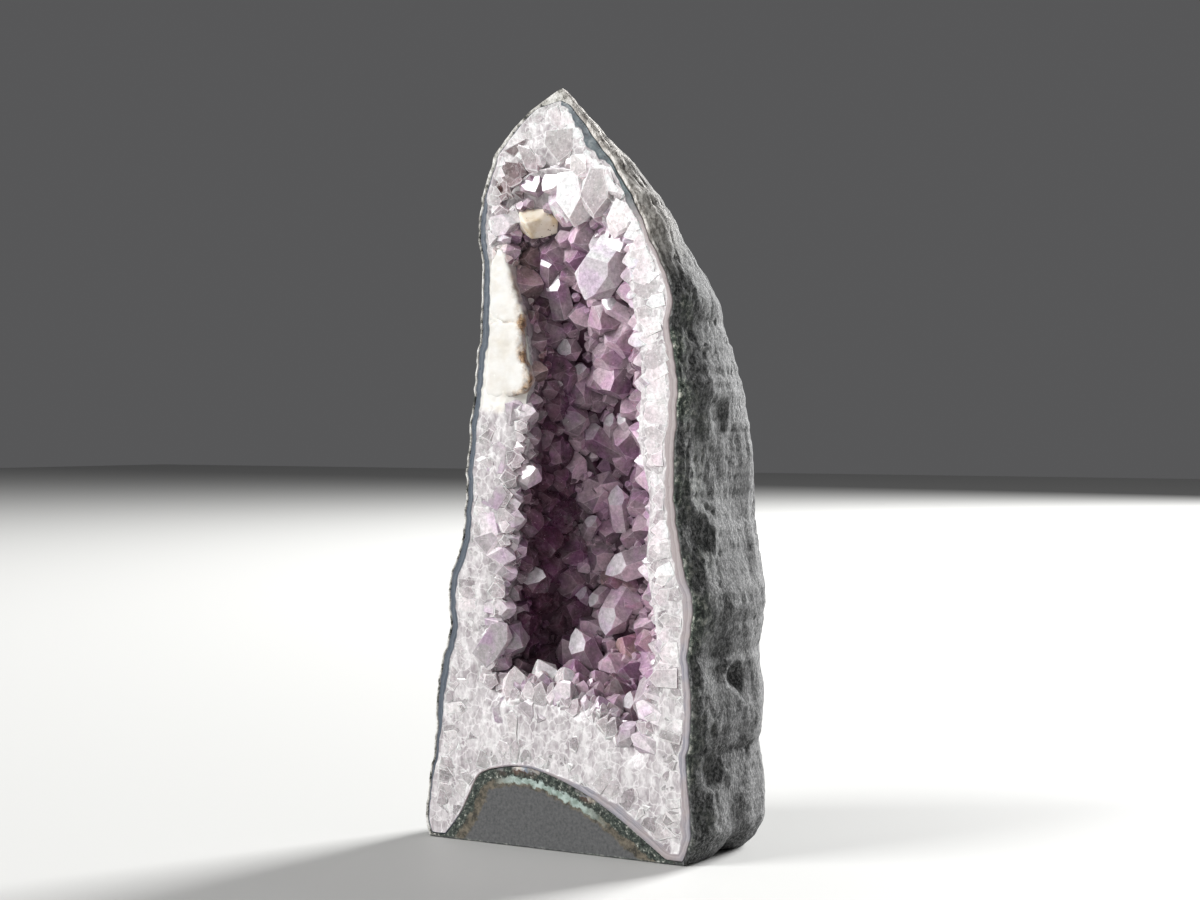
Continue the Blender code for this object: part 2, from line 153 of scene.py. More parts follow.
# How far the quartz sinks behind the face at most, in mm, and over which reaches
DEEPEST_SINK = 4.2
SINK_REACH = 9 * MM
RIND_FADE = 2.5 * MM

# Width of the agate rind on the face in mm: by height on either side, and across the mound
AGATE_LEFT = ((0, 0.3), (20, 0.5), (42, 1.3), (55, 2.4), (68, 3.6), (95, 2.4), (118, 3.0), (140, 2.4),
              (176, 2.2), (212, 3.2), (240, 2.4), (262, 2.2), (270, 0.4), (310, 0.2))
AGATE_RIGHT = ((0, 2.4), (16, 4.4), (30, 3.0), (77, 3.2), (100, 4.2), (140, 3.8), (191, 3.8), (219, 2.4),
               (240, 1.3), (255, 1.8), (265, 3.0), (272, 1.6), (277, 1.0), (284, 4.2), (291, 4.0),
               (299, 2.2), (310, 1.5))
AGATE_ARCH = ((-55, 0.3), (-38, 0.6), (-13, 0.8), (2, 1.2), (18, 3.0), (33, 4.4), (49, 3.8), (58, 2.4))

# Quartz: the face of a point leans this far from the crystal's axis
POINT_FACE_LEAN = math.radians(51.8)
SIGHT_ANGLE = math.radians(33.4)
TO_VIEWER = Vector((math.sin(SIGHT_ANGLE), -math.cos(SIGHT_ANGLE), 0))
VIEW_RIGHT = Vector((math.cos(SIGHT_ANGLE), math.sin(SIGHT_ANGLE), 0))

# Large crystals: where the sight line to the tip crosses the sawn face (across, up in mm),
# width in mm, then in degrees: which way the tip leans as seen (clockwise from up), how far
# it leans from the sight line, and its turn on its axis
LARGE_CRYSTALS = (
    (8, 254, 12, 178, 48, 30), (4, 276, 12, 180, 40, 0), (19, 262, 9, 170, 40, 30),
    (-17, 263, 10, 120, 40, 15), (26, 254, 8, 230, 25, 0), (32, 242, 10, 190, 40, 0),
    (24, 212, 12, 200, 30, 50), (29, 206, 12, 240, 25, 10), (37, 199, 9, 250, 40, 30),
    (-5, 212, 10, 100, 30, 0), (28, 186, 14, 200, 30, 15), (9, 194, 12, 90, 20, 45),
    (-9, 178, 11, 90, 45, 20), (17, 182, 12, 150, 25, 10), (31, 164, 12, 250, 30, 0),
    (-13, 161, 13, 85, 50, 25), (-8, 156, 10, 60, 30, 10), (-13, 143, 12, 90, 45, 40),
    (20, 146, 12, 270, 25, 0), (-18, 133, 12, 80, 50, 10), (-14, 123, 15, 95, 40, 35),
    (-10, 94, 11, 60, 25, 30), (6, 97, 12, 300, 20, 5), (41, 82, 10, 270, 30, 30),
    (-14, 81, 12, 120, 35, 0), (-19, 66, 14, 10, 60, 20), (-5, 67, 12, 15, 60, 40),
    (4, 61, 10, 40, 50, 0), (18, 60, 14, 350, 50, 30), (46, 70, 11, 280, 50, 10),
    (46, 50, 14, 200, 50, 0), (31, 52, 11, 330, 35, 15),
)
SEED = 33
ROOT_DEPTH = 9 * MM
LARGE_GROWTH = 1.15
# Crystals stand this far behind the face where the cream calcite covers it
BEHIND_CREAM = 9 * MM
# How far a point's faces are set back, as shares of half the width, and how frost varies
LARGE_WEAR = (0.22, 0.50)
SMALL_WEAR = (0.0, 0.16)
FROST = (0.70, 1.25)
# Crystals with one face that sends the main light to the viewer: across, up and width in mm,
# which way the tip points as seen (degrees clockwise from up), and how far off the face is turned
BRIGHT_CRYSTALS = (
    (-9, 271, 14, 150, 0), (-2, 271, 13, 215, 2), (-1, 244, 8, 20, 0), (1, 235, 9, 0, 4),
    (18, 228, 17, 200, 17), (26, 224, 7, 300, 0), (15.5, 197, 6, 90, 0), (29, 177, 6, 20, 0),
    (33.5, 177, 5, 330, 2), (20.5, 134, 6, 60, 0), (32, 146, 9, 0, 12), (15.5, 104, 6, 40, 0),
    (19, 98, 6, 200, 0), (12, 86, 11, 340, 8), (7.6, 68, 8, 60, 0), (-11.6, 188, 7, 150, 2),
    (8, 204, 9, 120, 13), (14.5, 171, 11, 300, 15), (29, 112, 12, 250, 15), (27, 88, 12, 180, 14),
    (-6, 110, 11, 110, 15), (22, 250, 8, 0, 12), (-25, 90, 10, 60, 14), (38, 64, 7, 10, 10),
)
BRIGHT_STAND = 12 * MM
# Highlights painted on that face: the colour when it is turned less than 12 degrees off, and the one for the
# rest
PAINTED_HIGHLIGHT = Vector((0.66, 0.62, 0.65))
SOFT_PAINTED_HIGHLIGHT = Vector((0.66, 0.61, 0.645))
# The palest that a face can be
PALEST = 0.80
# Sizes of the crystals that fill the wall, coarse first: widths in mm, tries, spacing share
FILL_SIZES = (((11, 15), 3000, 0.80), ((6.5, 9), 4000, 0.78), ((3, 5), 5000, 0.72))
# Nearer to the face than this, they are no wider than this
SHALLOW = 10 * MM
SHALLOW_WIDTH = 8 * MM
# Width of the worn edges
EDGE_WIDTH = 0.24 * MM

# Colours of the crystals: point and root, pale and deep; the deep ones are partly the amethyst's own colour
# and partly painted shade deep in the hollow
PALE_POINT = Vector((0.64, 0.485, 0.555))
PALE_ROOT = Vector((0.60, 0.485, 0.54))
DEEP_SHADED_POINT = Vector((0.23, 0.095, 0.15))
DEEP_SHADED_ROOT = Vector((0.30, 0.155, 0.215))
# Crystals near the face are bleached towards this
NEAR_FACE = Vector((0.72, 0.675, 0.69))

# Rim crystals, by layer: widths, spacing share, reach past the hollow's edge and depth of the
# axis behind the face in mm, and the colours of point and root
RIM_LAYERS = (
    ((5, 9), 0.60, (0, 4), (0.8, 3.0), (Vector((0.56, 0.47, 0.50)), Vector((0.64, 0.61, 0.61)))),
    ((6, 11), 0.70, (0, 6), (3.5, 8.0), (Vector((0.52, 0.39, 0.44)), Vector((0.60, 0.54, 0.56)))),
)
# Where the band is narrower than this, rim crystals may lean less; and their greatest length
NARROW_BAND = 20 * MM
LONGEST_RIM = 26 * MM
# Crystals that hang from the top or stand out at the rim: tip (across, into, up), width and
# length in mm, way in the face's plane (degrees clockwise from up), lean towards the viewer
HANGING_CRYSTALS = (
    (9, 2, 251, 15, 24, 176, 14), (-15, 2, 280, 12, 16, 160, 6), (4, 1, 277, 13, 20, 178, 8),
    (18.5, 1.5, 254, 13, 22, 188, 12), (27, 2, 246, 12, 18, 205, 15), (13, 3, 266, 11, 16, 176, 10),
    (33, 2.5, 236, 10, 14, 235, 15), (-20, 2, 266, 9, 12, 130, 12), (-24, 2, 254, 8, 12, 110, 20),
    (-21, 3, 244, 8, 12, 95, 20), (-17, 3, 256, 9, 12, 120, 25),
)
# Standing crystals behind the sill: the same, tips up
SILL_CRYSTALS = (
    (-21, 3, 76, 15, 24, 5, 24), (-8, 3, 75, 16, 24, 6, 25), (5, 3.5, 70, 13, 22, 0, 26),
    (14, 3, 67, 15, 22, 12, 24), (26, 3, 64, 13, 20, 18, 25), (34, 2.5, 56, 11, 18, 22, 24),
    (-14, 7, 78, 12, 22, 350, 28), (0, 8, 76, 12, 22, 12, 28), (-27, 2, 68, 11, 18, 335, 22),
)
# Crystals between the rind and the rim, by layer: widths, lengths, spacing share, depth of the
# axis as a share of the width, lean out of the face, and the height in mm that it grows to
BAND_LAYERS = (
    ((3.5, 7), (4, 13), 0.62, (0.05, 0.30), 0.10, 400),
    ((5, 9), (11, 24), 0.75, (0.05, 0.30), 0.45, 75),
)
HANGING_COLOURS = (Vector((0.69, 0.61, 0.625)), Vector((0.76, 0.73, 0.72)))
BAND_COLOURS = (Vector((0.60, 0.53, 0.55)), Vector((0.71, 0.675, 0.67)))
CREAM_HEIGHTS = (180, 241)
# Outline of the cream calcite on the face, anticlockwise, how far it reaches in, and the
# height in mm of the crack across it
CREAM_EDGE = (
    (-33.5, 186), (-22, 185.5), (-13.6, 188), (-12, 194), (-15, 201), (-16, 211.5), (-15.6, 218),
    (-19, 228.5), (-21.5, 236), (-24, 243), (-28, 245), (-31, 240), (-32.2, 221), (-33.3, 196),
)
CREAM_DEPTH = 8 * MM
CREAM_CRACK = 216
# Rusty places, as seen: across and up on the face in mm, radius, strength and colour
BROWN = Vector((0.13, 0.055, 0.05))
ORANGE = Vector((0.50, 0.22, 0.07))
TAN = Vector((0.42, 0.28, 0.17))
STAINS = (
    (-19, 274, 9, 1.0, BROWN), (-13, 214, 5, 0.7, TAN), (-9, 200, 6, 0.6, TAN), (33, 94, 5, 0.4, ORANGE),
    (35, 108, 5, 0.35, ORANGE), (4, 222, 4, 0.5, BROWN), (36, 80, 4, 0.35, ORANGE), (6, 268, 4, 0.3, ORANGE),
    (30, 66, 5, 0.5, BROWN), (-18, 240, 7, 0.55, TAN), (-14, 226, 6, 0.5, TAN), (-12, 247, 5, 0.4, BROWN),
)
# Where the painted shade starts and ends from left to right, as seen, in mm: a band of deep colour, with the
# crystals right of it painted paler, as lit
SHADE_START = (-17, -8)
SHADE_END = (4, 14)
# How far behind the face the deep colour starts, grows and counts, partly as painted shade deep in
# # the hollow, how it fades towards the top, and how much it varies from crystal to crystal
DEPTH_START = 3 * MM
DEPTH_REACH = 18 * MM
DEPTH_SHARE = 0.6
SHADE_REACH = 8 * MM
PALE_HEIGHT = 280 * MM
PALE_REACH = 130 * MM
COLOUR_SPREAD = 0.22
# How much crystals near the face are bleached, and where that ends, in mm behind it
BLEACH = 0.8
BLEACH_END = (3, 11)
# Tones of the left and right band, and of each foot with the height where it ends
SIDE_TONES = (0.87, 1.13)
LEFT_FOOT = (0.84, 70 * MM)
RIGHT_FOOT = (0.66, 150 * MM)
# How much lighter the top is, the height where that starts, and the reach of both changes
TOP_LIGHT = 0.22
TOP_START = 200 * MM
TONE_REACH = 40 * MM

CALCITE_PLACE = (-7.5, 257)
CALCITE_DEPTH = 10 * MM
CALCITE_EDGES = (15 * MM, 11 * MM, 9.5 * MM)
CALCITE_SKEW = 0.25
CALCITE_TURN = Euler((math.radians(35), math.radians(-18), math.radians(40)))
# Planes that break off its corners: way they face and share of its size that is left
CALCITE_BREAKS = (((1, -0.6, 0.7), 0.40), ((-0.8, -1, -0.9), 0.42), ((0.3, -0.4, -1), 0.44))

# Where colours change, in m: the mint line along the mound from left to right, the pale lip,
# and on the rind its right side, the start and top of its arch, and its beige and teal heights
MINT_START = (-0.031, -0.020)
MINT_END = (0.012, 0.026)
PALE_LIP_END = (0.002, 0.014)
RIGHT_SIDE = (-0.02, 0.03)
ARCH_START = (-0.056, -0.050)
ARCH_TOP = (0.036, 0.040)
BEIGE_HEIGHTS = (0.09, 0.13)
TEAL_HEIGHTS = (0.252, 0.266)

# Camera and lights, in the face's frame
CAMERA_PLACE = Vector((0.554, -0.8047, 0.1759))
CAMERA_YAW = math.radians(-33.41)
CAMERA_PITCH = math.radians(-0.74)
CAMERA_LENS = 72
CAMERA_SENSOR = 36
KEY_DIRECTION = Vector((-0.50, -0.70, 0.52)).normalized()
# Name, way to it from the geode's middle, side in m and power
LIGHTS = (
    ("key", KEY_DIRECTION, 1.9, 222),
    ("front_fill", Vector((0.15, -1, 0.25)), 2.0, 24),
    ("back_side", Vector((0.16, 1, 0.35)), 1.3, 620),
)
LIGHT_DISTANCE = 4.0


def lerp(a, b, share):
    return a + (b - a) * share


def limited(value, low=0, high=1):
    return min(max(value, low), high)


def smooth_step(low, high, value):
    share = np.clip((value - low) / (high - low), 0, 1)
    return share * share * (3 - 2 * share)


def hill(start, end, value):
    """1 between two slopes and 0 beyond them; each slope is (low, high)."""
    return smooth_step(*start, value) * (1 - smooth_step(*end, value))


def table_value(table, place):
    """What a table of (place, value) rows in mm says at this place."""
    return float(np.interp(place / MM, *zip(*table)))


def face_point(across, up):
    """A point on the sawn face, from mm."""
    return Vector((across, 0, up)) * MM


# Shape functions shared with the solids

def follow(edge, height):
    """Across value of a smooth curve through the edge's points, at this height."""
    points = [(across * MM, up * MM) for across, up in edge]
    neighbours = zip(points[:1] + points[:-1], points[1:] + points[-1:])
    slopes = [(after[0] - before[0]) / (after[1] - before[1]) for before, after in neighbours]
    span = 0
    while span < len(points) - 2 and height > points[span + 1][1]:
        span += 1
    start, end = points[span], points[span + 1]
    length = end[1] - start[1]
    t = limited((height - start[1]) / length)
    return (
        start[0] * (1 + 2 * t) * (1 - t) ** 2
        + slopes[span] * length * t * (1 - t) ** 2
        + end[0] * t * t * (3 - 2 * t)
        + slopes[span + 1] * length * t * t * (t - 1)
    )


def sawn_edge(edge, height):
    """The smooth edge with the small scallops and chips of the real one."""
    side = 1 if edge is RIGHT_EDGE else -1
    fade = min(height / FOOT_FADE, (HEIGHT - height) / TOP_FADE, 1)
    wave = 0.0
    for size, depth in EDGE_WAVES:
        wave += depth * noise.noise(Vector((side * 5.3, 0.4, height / size)))
    return follow(edge, height) + wave * max(fade, 0)


def body_depth(height):
    """How far the rock reaches behind the face: a straight foot under a leaning dome."""
    rise = max(height - DOME_START, 0) / (HEIGHT - DOME_START)
    share = max(1 - rise**DOME_POWER, 0) ** DOME_FALL
    return APEX_DEPTH + (BODY_DEPTH - APEX_DEPTH) * share


def signed_power(value, power):
    return math.copysign(abs(value) ** power, value)


def skin_relief(point):
    """Height of the lumps, ridges and pits at a point of the skin."""
    rise = 0
    shift = Vector((1.7, 2.3, 0.9)) * RELIEF_SEED
    for size, height, stretch in LUMPS:
        place = Vector((point.x, point.y, point.z / stretch)) / size
        rise += height * noise.noise(place + shift)
    ridge = noise.noise(Vector((point.x, point.y, point.z / 3)) / RIDGE_SPACING + shift)
    rise += RIDGE_RISE * (0.5 - 2 * abs(ridge))
    for across, into, up, radius, depth in PITS:
        away = (point - Vector((across, into, up)) * MM).length / (radius * MM)
        if away < 1:
            rise -= depth * MM * (1 - away * away)
    return rise


def grain_noise(point, size, height, shift=(0, 0, 0)):
    """Noise whose features have this size across and this height, in mm."""
    return noise.noise(Vector((point.x / size, point.y / size, point.z / height)) / MM + Vector(shift))


def fine_relief(point):
    """Grain, flakes and small pits of the broken rock, stretched along its height."""
    flake = grain_noise(point, 5, 12)
    chip = grain_noise(point, 2.6, 5, (3, 8, 1))
    grain = grain_noise(point, 1.5, 3)
    crack = max(CRACK_WIDTH - abs(grain_noise(point, 8, 20, (9, 4, 7))), 0) / CRACK_WIDTH
    pit = max(noise.noise(Vector((point.x, point.y, point.z * 0.7)) / (3.2 * MM)) - 0.42, 0)
    crumbs = math.exp(-point.y / CRUMB_REACH)
    rise = 0.32 * flake + (0.24 + 0.6 * crumbs) * chip + 0.12 * grain
    return (rise - 0.5 * crack - 2.6 * pit) * MM


def skin_ring(height):
    """Points of the rock's skin at one height, from the right edge round to the left."""
    left = sawn_edge(LEFT_EDGE, height)
    right = sawn_edge(RIGHT_EDGE, height)
    depth = body_depth(height)
    centre = (left + right) / 2
    half = max((right - left) / 2, 0.5 * MM)
    wide = half + SIDE_BULGE * math.sqrt(depth / BODY_DEPTH)
    overhang = 1 - (half / wide) ** SECTION_POWER
    widest = WIDEST_SHARE * depth
    front = widest / overhang ** (1 / SECTION_POWER)
    start = math.asin(math.sqrt(overhang))
    middle = Vector((centre, widest, height))
    size = min(1, depth / (0.4 * BODY_DEPTH))
    low = max(1 - height / BASE_ROUNDING, 0)
    fine_size = min(1, depth / (0.15 * BODY_DEPTH)) * min(1, height / GRAIN_FADE)
    ring = []
    for i in range(SKIN_TURNS + 1):
        angle = -start + i / SKIN_TURNS * (math.pi + 2 * start)
        across = wide * signed_power(math.cos(angle), 2 / SECTION_POWER)
        reach = front if math.sin(angle) < 0 else depth - widest
        into = widest + reach * signed_power(math.sin(angle), 2 / SECTION_POWER)
        smooth = Vector((centre + across, max(into, 0), height))
        outward = (smooth - middle).normalized()
        move = skin_relief(smooth) * size - BASE_INSET * low * low
        moved = smooth + outward * move * min(1, smooth.y / EDGE_FADE)
        moved += outward * fine_relief(smooth) * fine_size * min(1, smooth.y / GRAIN_FADE)
        moved.y = max(moved.y, 0)
        moved.z = height
        ring.append(moved)
    return ring


def crust_side(edge, lip, inwards, heights):
    """One side of the crust's outline: the rock's edge less the rock that shows there."""
    run = []
    for height in heights:
        across = sawn_edge(edge, height) + inwards * table_value(lip, height) * MM
        run.append(Vector((across, 0, height)))
    return run


def crust_edge():
    """Outer edge of the crust on the face, anticlockwise from the foot of the right leg."""
    count = round((CRUST_SHOULDER - CRUST_FOOT) / RING_STEP)
    heights = [lerp(CRUST_FOOT, CRUST_SHOULDER, i / count) for i in range(count + 1)]
    heights += [lerp(CRUST_SHOULDER, CRUST_TOP, share) for share in (0.2, 0.4, 0.6, 0.8)]
    right = crust_side(RIGHT_EDGE, LIP_RIGHT, -1, heights)
    left = crust_side(LEFT_EDGE, LIP_LEFT, 1, heights)
    top = Vector((APEX_ACROSS, 0, CRUST_TOP))
    return right + [top] + left[::-1] + smooth_line(MOUND_ARCH, RING_STEP, False)


def rounded(points, closed):
    """A smooth run through the points, six points to a span."""
    if closed:
        padded = points[-1:] + points + points[:2]
    else:
        padded = points[:1] + points + points[-1:]
    run = []
    for a, b, c, d in zip(padded, padded[1:], padded[2:], padded[3:]):
        for k in range(6):
            t = k / 6
            run.append(
                0.5 * (2 * b + (c - a) * t + (2 * a - 5 * b + 4 * c - d) * t * t
                       + (3 * b - a - 3 * c + d) * t * t * t)
            )
    return run if closed else run + points[-1:]


def spaced(points, step, closed):
    """The same line with a point about every step."""
    ends = points[1:] + points[:1] if closed else points[1:]
    lengths = [(b - a).length for a, b in zip(points, ends)]
    total = sum(lengths)
    count = max(round(total / step), 2)
    run = []
    span = 0
    passed = 0.0
    for i in range(count if closed else count + 1):
        distance = total * i / count
        while span < len(lengths) - 1 and passed + lengths[span] < distance:
            passed += lengths[span]
            span += 1
        run.append(points[span].lerp(ends[span], limited((distance - passed) / lengths[span])))
    return run


def smooth_line(table, step, closed):
    """A smooth line through a table's (across, up) points, with a point about every step."""
    return spaced(rounded([face_point(*row) for row in table], closed), step, closed)


def inset(edge, distance):
    """The same closed outline, anticlockwise, with every side moved inwards."""
    moved = []
    for before, point, after in zip(edge[-1:] + edge[:-1], edge, edge[1:] + edge[:1]):
        along = (after - before).normalized()
        moved.append(point + Vector((-along.z, 0, along.x)) * distance)
    return moved


def bowl_point(edge_point, dip, share):
    """Point of a bowl below this edge point; dip runs from 0 at the edge to 1 at the centre."""
    angle = dip * math.pi / 2
    reach = math.cos(angle) ** (2 / BOWL_POWER)
    sink = math.sin(angle) ** (2 / BOWL_POWER)
    point = BOWL_CENTRE + (edge_point - BOWL_CENTRE) * reach
    point.y = share * body_depth(point.z) * sink
    return point


# Mesh building

def as_flat(points):
    return np.array([(point.x, point.z) for point in points])


def inside_mask(places, outline):
    """Which of the (across, up) places lie inside a closed outline."""
    x, z = places[:, 0], places[:, 1]
    inside = np.zeros(len(places), bool)
    ends = np.roll(outline, -1, axis=0)
    for (x1, z1), (x2, z2) in zip(outline, ends):
        if z1 == z2:
            continue
        crosses = (z1 > z) != (z2 > z)
        inside ^= crosses & (x < (x2 - x1) * (z - z1) / (z2 - z1) + x1)
    return inside


def between(places, outline, inner):
    """Which of the (across, up) places lie inside the outline and outside the inner one."""
    return inside_mask(places, outline) & ~inside_mask(places, inner)


def tree_of(points):
    tree = kdtree.KDTree(len(points))
    for i, point in enumerate(points):
        tree.insert(point, i)
    tree.balance()
    return tree


def fill_region(outer, hole, step, rng):
    """Triangles over the flat region between two closed outlines: (points, faces)."""
    outline, inner = as_flat(outer), as_flat(hole)
    low, high = outline.min(0), outline.max(0)
    rows = np.arange(low[1], high[1], step * 0.866)
    columns = np.arange(low[0], high[0], step)
    grid_x, grid_z = np.meshgrid(columns, rows)
    grid_x = grid_x + (np.arange(len(rows)) % 2)[:, None] * step / 2
    places = np.stack([grid_x.ravel(), grid_z.ravel()], 1)
    places += rng.uniform(-0.18, 0.18, places.shape) * step
    places = places[between(places, outline, inner)]
    border = np.vstack([outline, inner])
    tree = tree_of([(x, z, 0) for x, z in border])
    places = places[[tree.find((x, z, 0))[2] > 0.55 * step for x, z in places]]
    count, inner_count = len(outline), len(inner)
    edges = [(i, (i + 1) % count) for i in range(count)]
    edges += [(count + i, count + (i + 1) % inner_count) for i in range(inner_count)]
    points = [Vector(place) for place in np.vstack([border, places])]
    made = geometry.delaunay_2d_cdt(points, edges, [], 0, 1e-9, False)
    found = np.array([(point.x, point.y) for point in made[0]])
    faces = np.array([face for face in made[2] if len(face) == 3])
    faces = faces[between(found[faces].mean(1), outline, inner)]
    return [Vector((x, 0, z)) for x, z in found], faces


def add_grid(bm, rings, closed):
    """Quads between rings of points; returns the rings' vertices."""
    made = [[bm.verts.new(point) for point in ring] for ring in rings]
    for lower, upper in zip(made, made[1:]):
        count = len(lower)
        for i in range(count if closed else count - 1):
            j = (i + 1) % count
            bm.faces.new((lower[i], lower[j], upper[j], upper[i]))
    return made


def add_triangles(bm, points, faces):
    verts = [bm.verts.new(point) for point in points]
    for a, b, c in faces:
        bm.faces.new((verts[a], verts[b], verts[c]))


def add_bowl(bm, edge, share, rings, back):
    """The wall of a bowl below an edge on the face, closed at its deepest point."""
    runs = [edge]
    for k in range(1, rings):
        runs.append([bowl_point(point, k / rings, share) - Vector((0, back, 0)) for point in edge])
    last = add_grid(bm, runs, True)[-1]
    deepest = bm.verts.new(bowl_point(BOWL_CENTRE, 1, share) - Vector((0, back, 0)))
    for i in range(len(last)):
        bm.faces.new((last[i], last[(i + 1) % len(last)], deepest))


def new_object(name, data):
    made = bpy.data.objects.new(name, data)
    bpy.context.scene.collection.objects.link(made)
    return made


def mesh_object(name, bm):
    mesh = bpy.data.meshes.new(name)
    bm.to_mesh(mesh)
    bm.free()
    return new_object(name, mesh)


def welded(name, bm):
    """A closed mesh object from loose parts that meet point to point."""
    bmesh.ops.remove_doubles(bm, verts=bm.verts, dist=0.02 * MM)
    bmesh.ops.recalc_face_normals(bm, faces=bm.faces)
    return mesh_object(name, bm)


def set_attributes(made, **attributes):
    """Stores one number per point under each of the names."""
    for name, values in attributes.items():
        attribute = made.data.attributes.new(name, "FLOAT", "POINT")
        attribute.data.foreach_set("value", np.asarray(values, np.float32))


def mesh_points(made):
    flat = np.empty(len(made.data.vertices) * 3, np.float32)
    made.data.vertices.foreach_get("co", flat)
    return flat.reshape(-1, 3).astype(float)


def move_points(made, places):
    made.data.vertices.foreach_set("co", places.astype(np.float32).ravel())
    made.data.update()


def distances(places, edge):
    """Distance from each point's (across, up) to the nearest point of an edge, and its index."""
    tree = tree_of([(point.x, point.z, 0) for point in edge])
    found = [tree.find((x, z, 0)) for x, _, z in places]
    return np.array([hit[2] for hit in found]), np.array([hit[1] for hit in found])


def noise_at(places, size, shift=0.0):
    """Smooth noise from -1 to 1 at each place, with features of this size."""
    return np.array([noise.noise(Vector(place) / size + Vector((shift, shift, shift))) for place in places])


# The rock

def make_rock(rng):
    """The rough skin, the sawn mound and lip, the foot, and the bowl behind the crust."""
    count = round(HEIGHT / RING_STEP)
    rings = [skin_ring(HEIGHT * i / count) for i in range(count)]
    bm = bmesh.new()
    last = add_grid(bm, rings, False)[-1]
    top = bm.verts.new(Vector((APEX_ACROSS, 0.4 * APEX_DEPTH, HEIGHT)))
    for i in range(SKIN_TURNS):
        bm.faces.new((last[i], last[i + 1], top))
    right = [ring[0] for ring in rings]
    left = [ring[-1] for ring in rings]
    foot = spaced([left[0], right[0]], MOUND_STEP, False)[1:-1]
    front_top = Vector((APEX_ACROSS, 0, HEIGHT - 0.4 * MM))
    edge = spaced(crust_edge(), RING_STEP, True)
    add_triangles(bm, *fill_region(right + [front_top] + left[::-1] + foot, edge, MOUND_STEP, rng))
    front = bm.verts.new(front_top)
    bm.faces.new((last[0], top, front))
    bm.faces.new((last[-1], front, top))
    under = bm.faces.new([bm.verts.new(point) for point in rings[0] + foot])
    bmesh.ops.triangulate(bm, faces=[under])
    add_bowl(bm, edge, ROCK_BOWL_SHARE, BACK_RINGS, 0)
    rock = welded("rough_basalt", bm)
    mark_rock(rock)
    return rock


def mark_rock(rock):
    """Where the rock is sawn, and how near it is to the crust, the seam and the top."""
    places = mesh_points(rock)
    up = places[:, 2] / MM
    on_face = (places[:, 1] < ON_FACE) & (places[:, 2] > ON_FACE)
    mound = on_face & (places[:, 2] < MOUND_HEIGHT) & (np.abs(places[:, 0]) < MOUND_HALF)
    arch, _ = distances(places, smooth_line(MOUND_ARCH, 0.5 * MM, False))
    low, high = GREEN_HEIGHTS
    green = hill((low - GREEN_FADE, low), (high, high + GREEN_FADE), up)
    strip = 1.3 * np.exp(-places[:, 1] / STRIP_REACH) * smooth_step(*STRIP_HEIGHTS, up)
    set_attributes(
        rock,
        sawn=mound,
        lip=on_face & ~mound,
        arch=np.minimum(arch / MM, 40),
        seam=np.exp(-places[:, 1] / SEAM_REACH) * (0.45 + 0.55 * green),
        strip=np.clip(strip, 0, 1),
    )


# The crust

def make_crust(outer, rng):
    """Agate rind and milky quartz: the flush face and the wall behind the crystals."""
    inner = smooth_line(HOLLOW_EDGE, 1.2 * MM, True)
    bm = bmesh.new()
    add_triangles(bm, *fill_region(outer, inner, FACE_STEP, rng))
    add_bowl(bm, outer, ROCK_BOWL_SHARE, BACK_RINGS, PIECE_GAP)
    add_bowl(bm, inner, HOLLOW_SHARE, WALL_RINGS, 0)
    crust = welded("milky_quartz", bm)

    places = mesh_points(crust)
    on_face = places[:, 1] < ON_FACE
    dense = spaced(outer, 0.4 * MM, True)
    out, index = distances(places, dense)
    into, _ = distances(places, spaced(inner, 0.4 * MM, True))
    width = np.array([agate_width(point) for point in dense]) * MM
    ragged = 1 + 1.5 * smooth_step(*RAGGED_HEIGHTS, places[:, 2] / MM)
    wave = 1 + (0.22 * noise_at(places, 7 * MM, 3) + 0.12 * noise_at(places, 2.2 * MM, 5)) * ragged
    rind = out / (width[index] * wave)
    rind[~on_face] = 3
    sink = 0.30 + 0.30 * noise_at(places, 6 * MM) + 0.18 * noise_at(places, 2 * MM, 2)
    sink += standing_out(places[:, 0], places[:, 2]) * np.clip(1 - into / SINK_REACH, 0, 1) ** 1.3
    sink = np.clip(sink, 0, DEEPEST_SINK) * smooth_step(0.9, 1.3, rind) * np.clip(out / RIND_FADE, 0, 1)
    set_attributes(
        crust,
        rind=rind,
        out=out / MM,
        cream=calcite_patch(places) * on_face,
        # depth behind the face, by which the wall is painted darker, as shade deep in the hollow
        deep=places[:, 1] / MM,
    )
    places[on_face, 1] += sink[on_face] * MM
    move_points(crust, places)
    return crust


def standing_out(across, up):
    """How far the face sinks at the hollow's edge, in mm: little on the right, which is sawn flat."""
    right = smooth_step(5, 20, across / MM) * smooth_step(60, 85, up / MM)
    right = right * (1 - smooth_step(*RAGGED_HEIGHTS, up / MM))
    return 4.0 - 3.0 * right


def agate_width(point):
    """Width of the rind in mm at a point of the crust's outer edge."""
    if point.z < MOUND_HEIGHT and abs(point.x) < ARCH_HALF:
        return table_value(AGATE_ARCH, point.x)
    return table_value(AGATE_RIGHT if point.x > APEX_ACROSS else AGATE_LEFT, point.z)


def calcite_patch(places):
    """1 on the cream calcite that fills the left band below the shoulder."""
    up = places[:, 2] / MM + 2.5 * noise_at(places, 6 * MM, 8)
    low, high = CREAM_HEIGHTS
    return hill((low - 2, low + 2), (high - 2, high + 3), up) * (places[:, 0] < -5 * MM)


# Crystals

def buried(point, margin):
    """Whether a point is inside the rock by at least this margin."""
    height = limited(point.z, 0, HEIGHT)
    left = follow(LEFT_EDGE, height)
    right = follow(RIGHT_EDGE, height)
    half = (right - left) / 2 - margin
    depth = body_depth(height) - margin
    if half <= 0 or depth <= 0:
        return False
    aside = abs(point.x - (left + right) / 2) / half
    widest = WIDEST_SHARE * depth
    behind = max(point.y - widest, 0) / (depth - widest)
    return aside**SECTION_POWER + behind**SECTION_POWER < 1


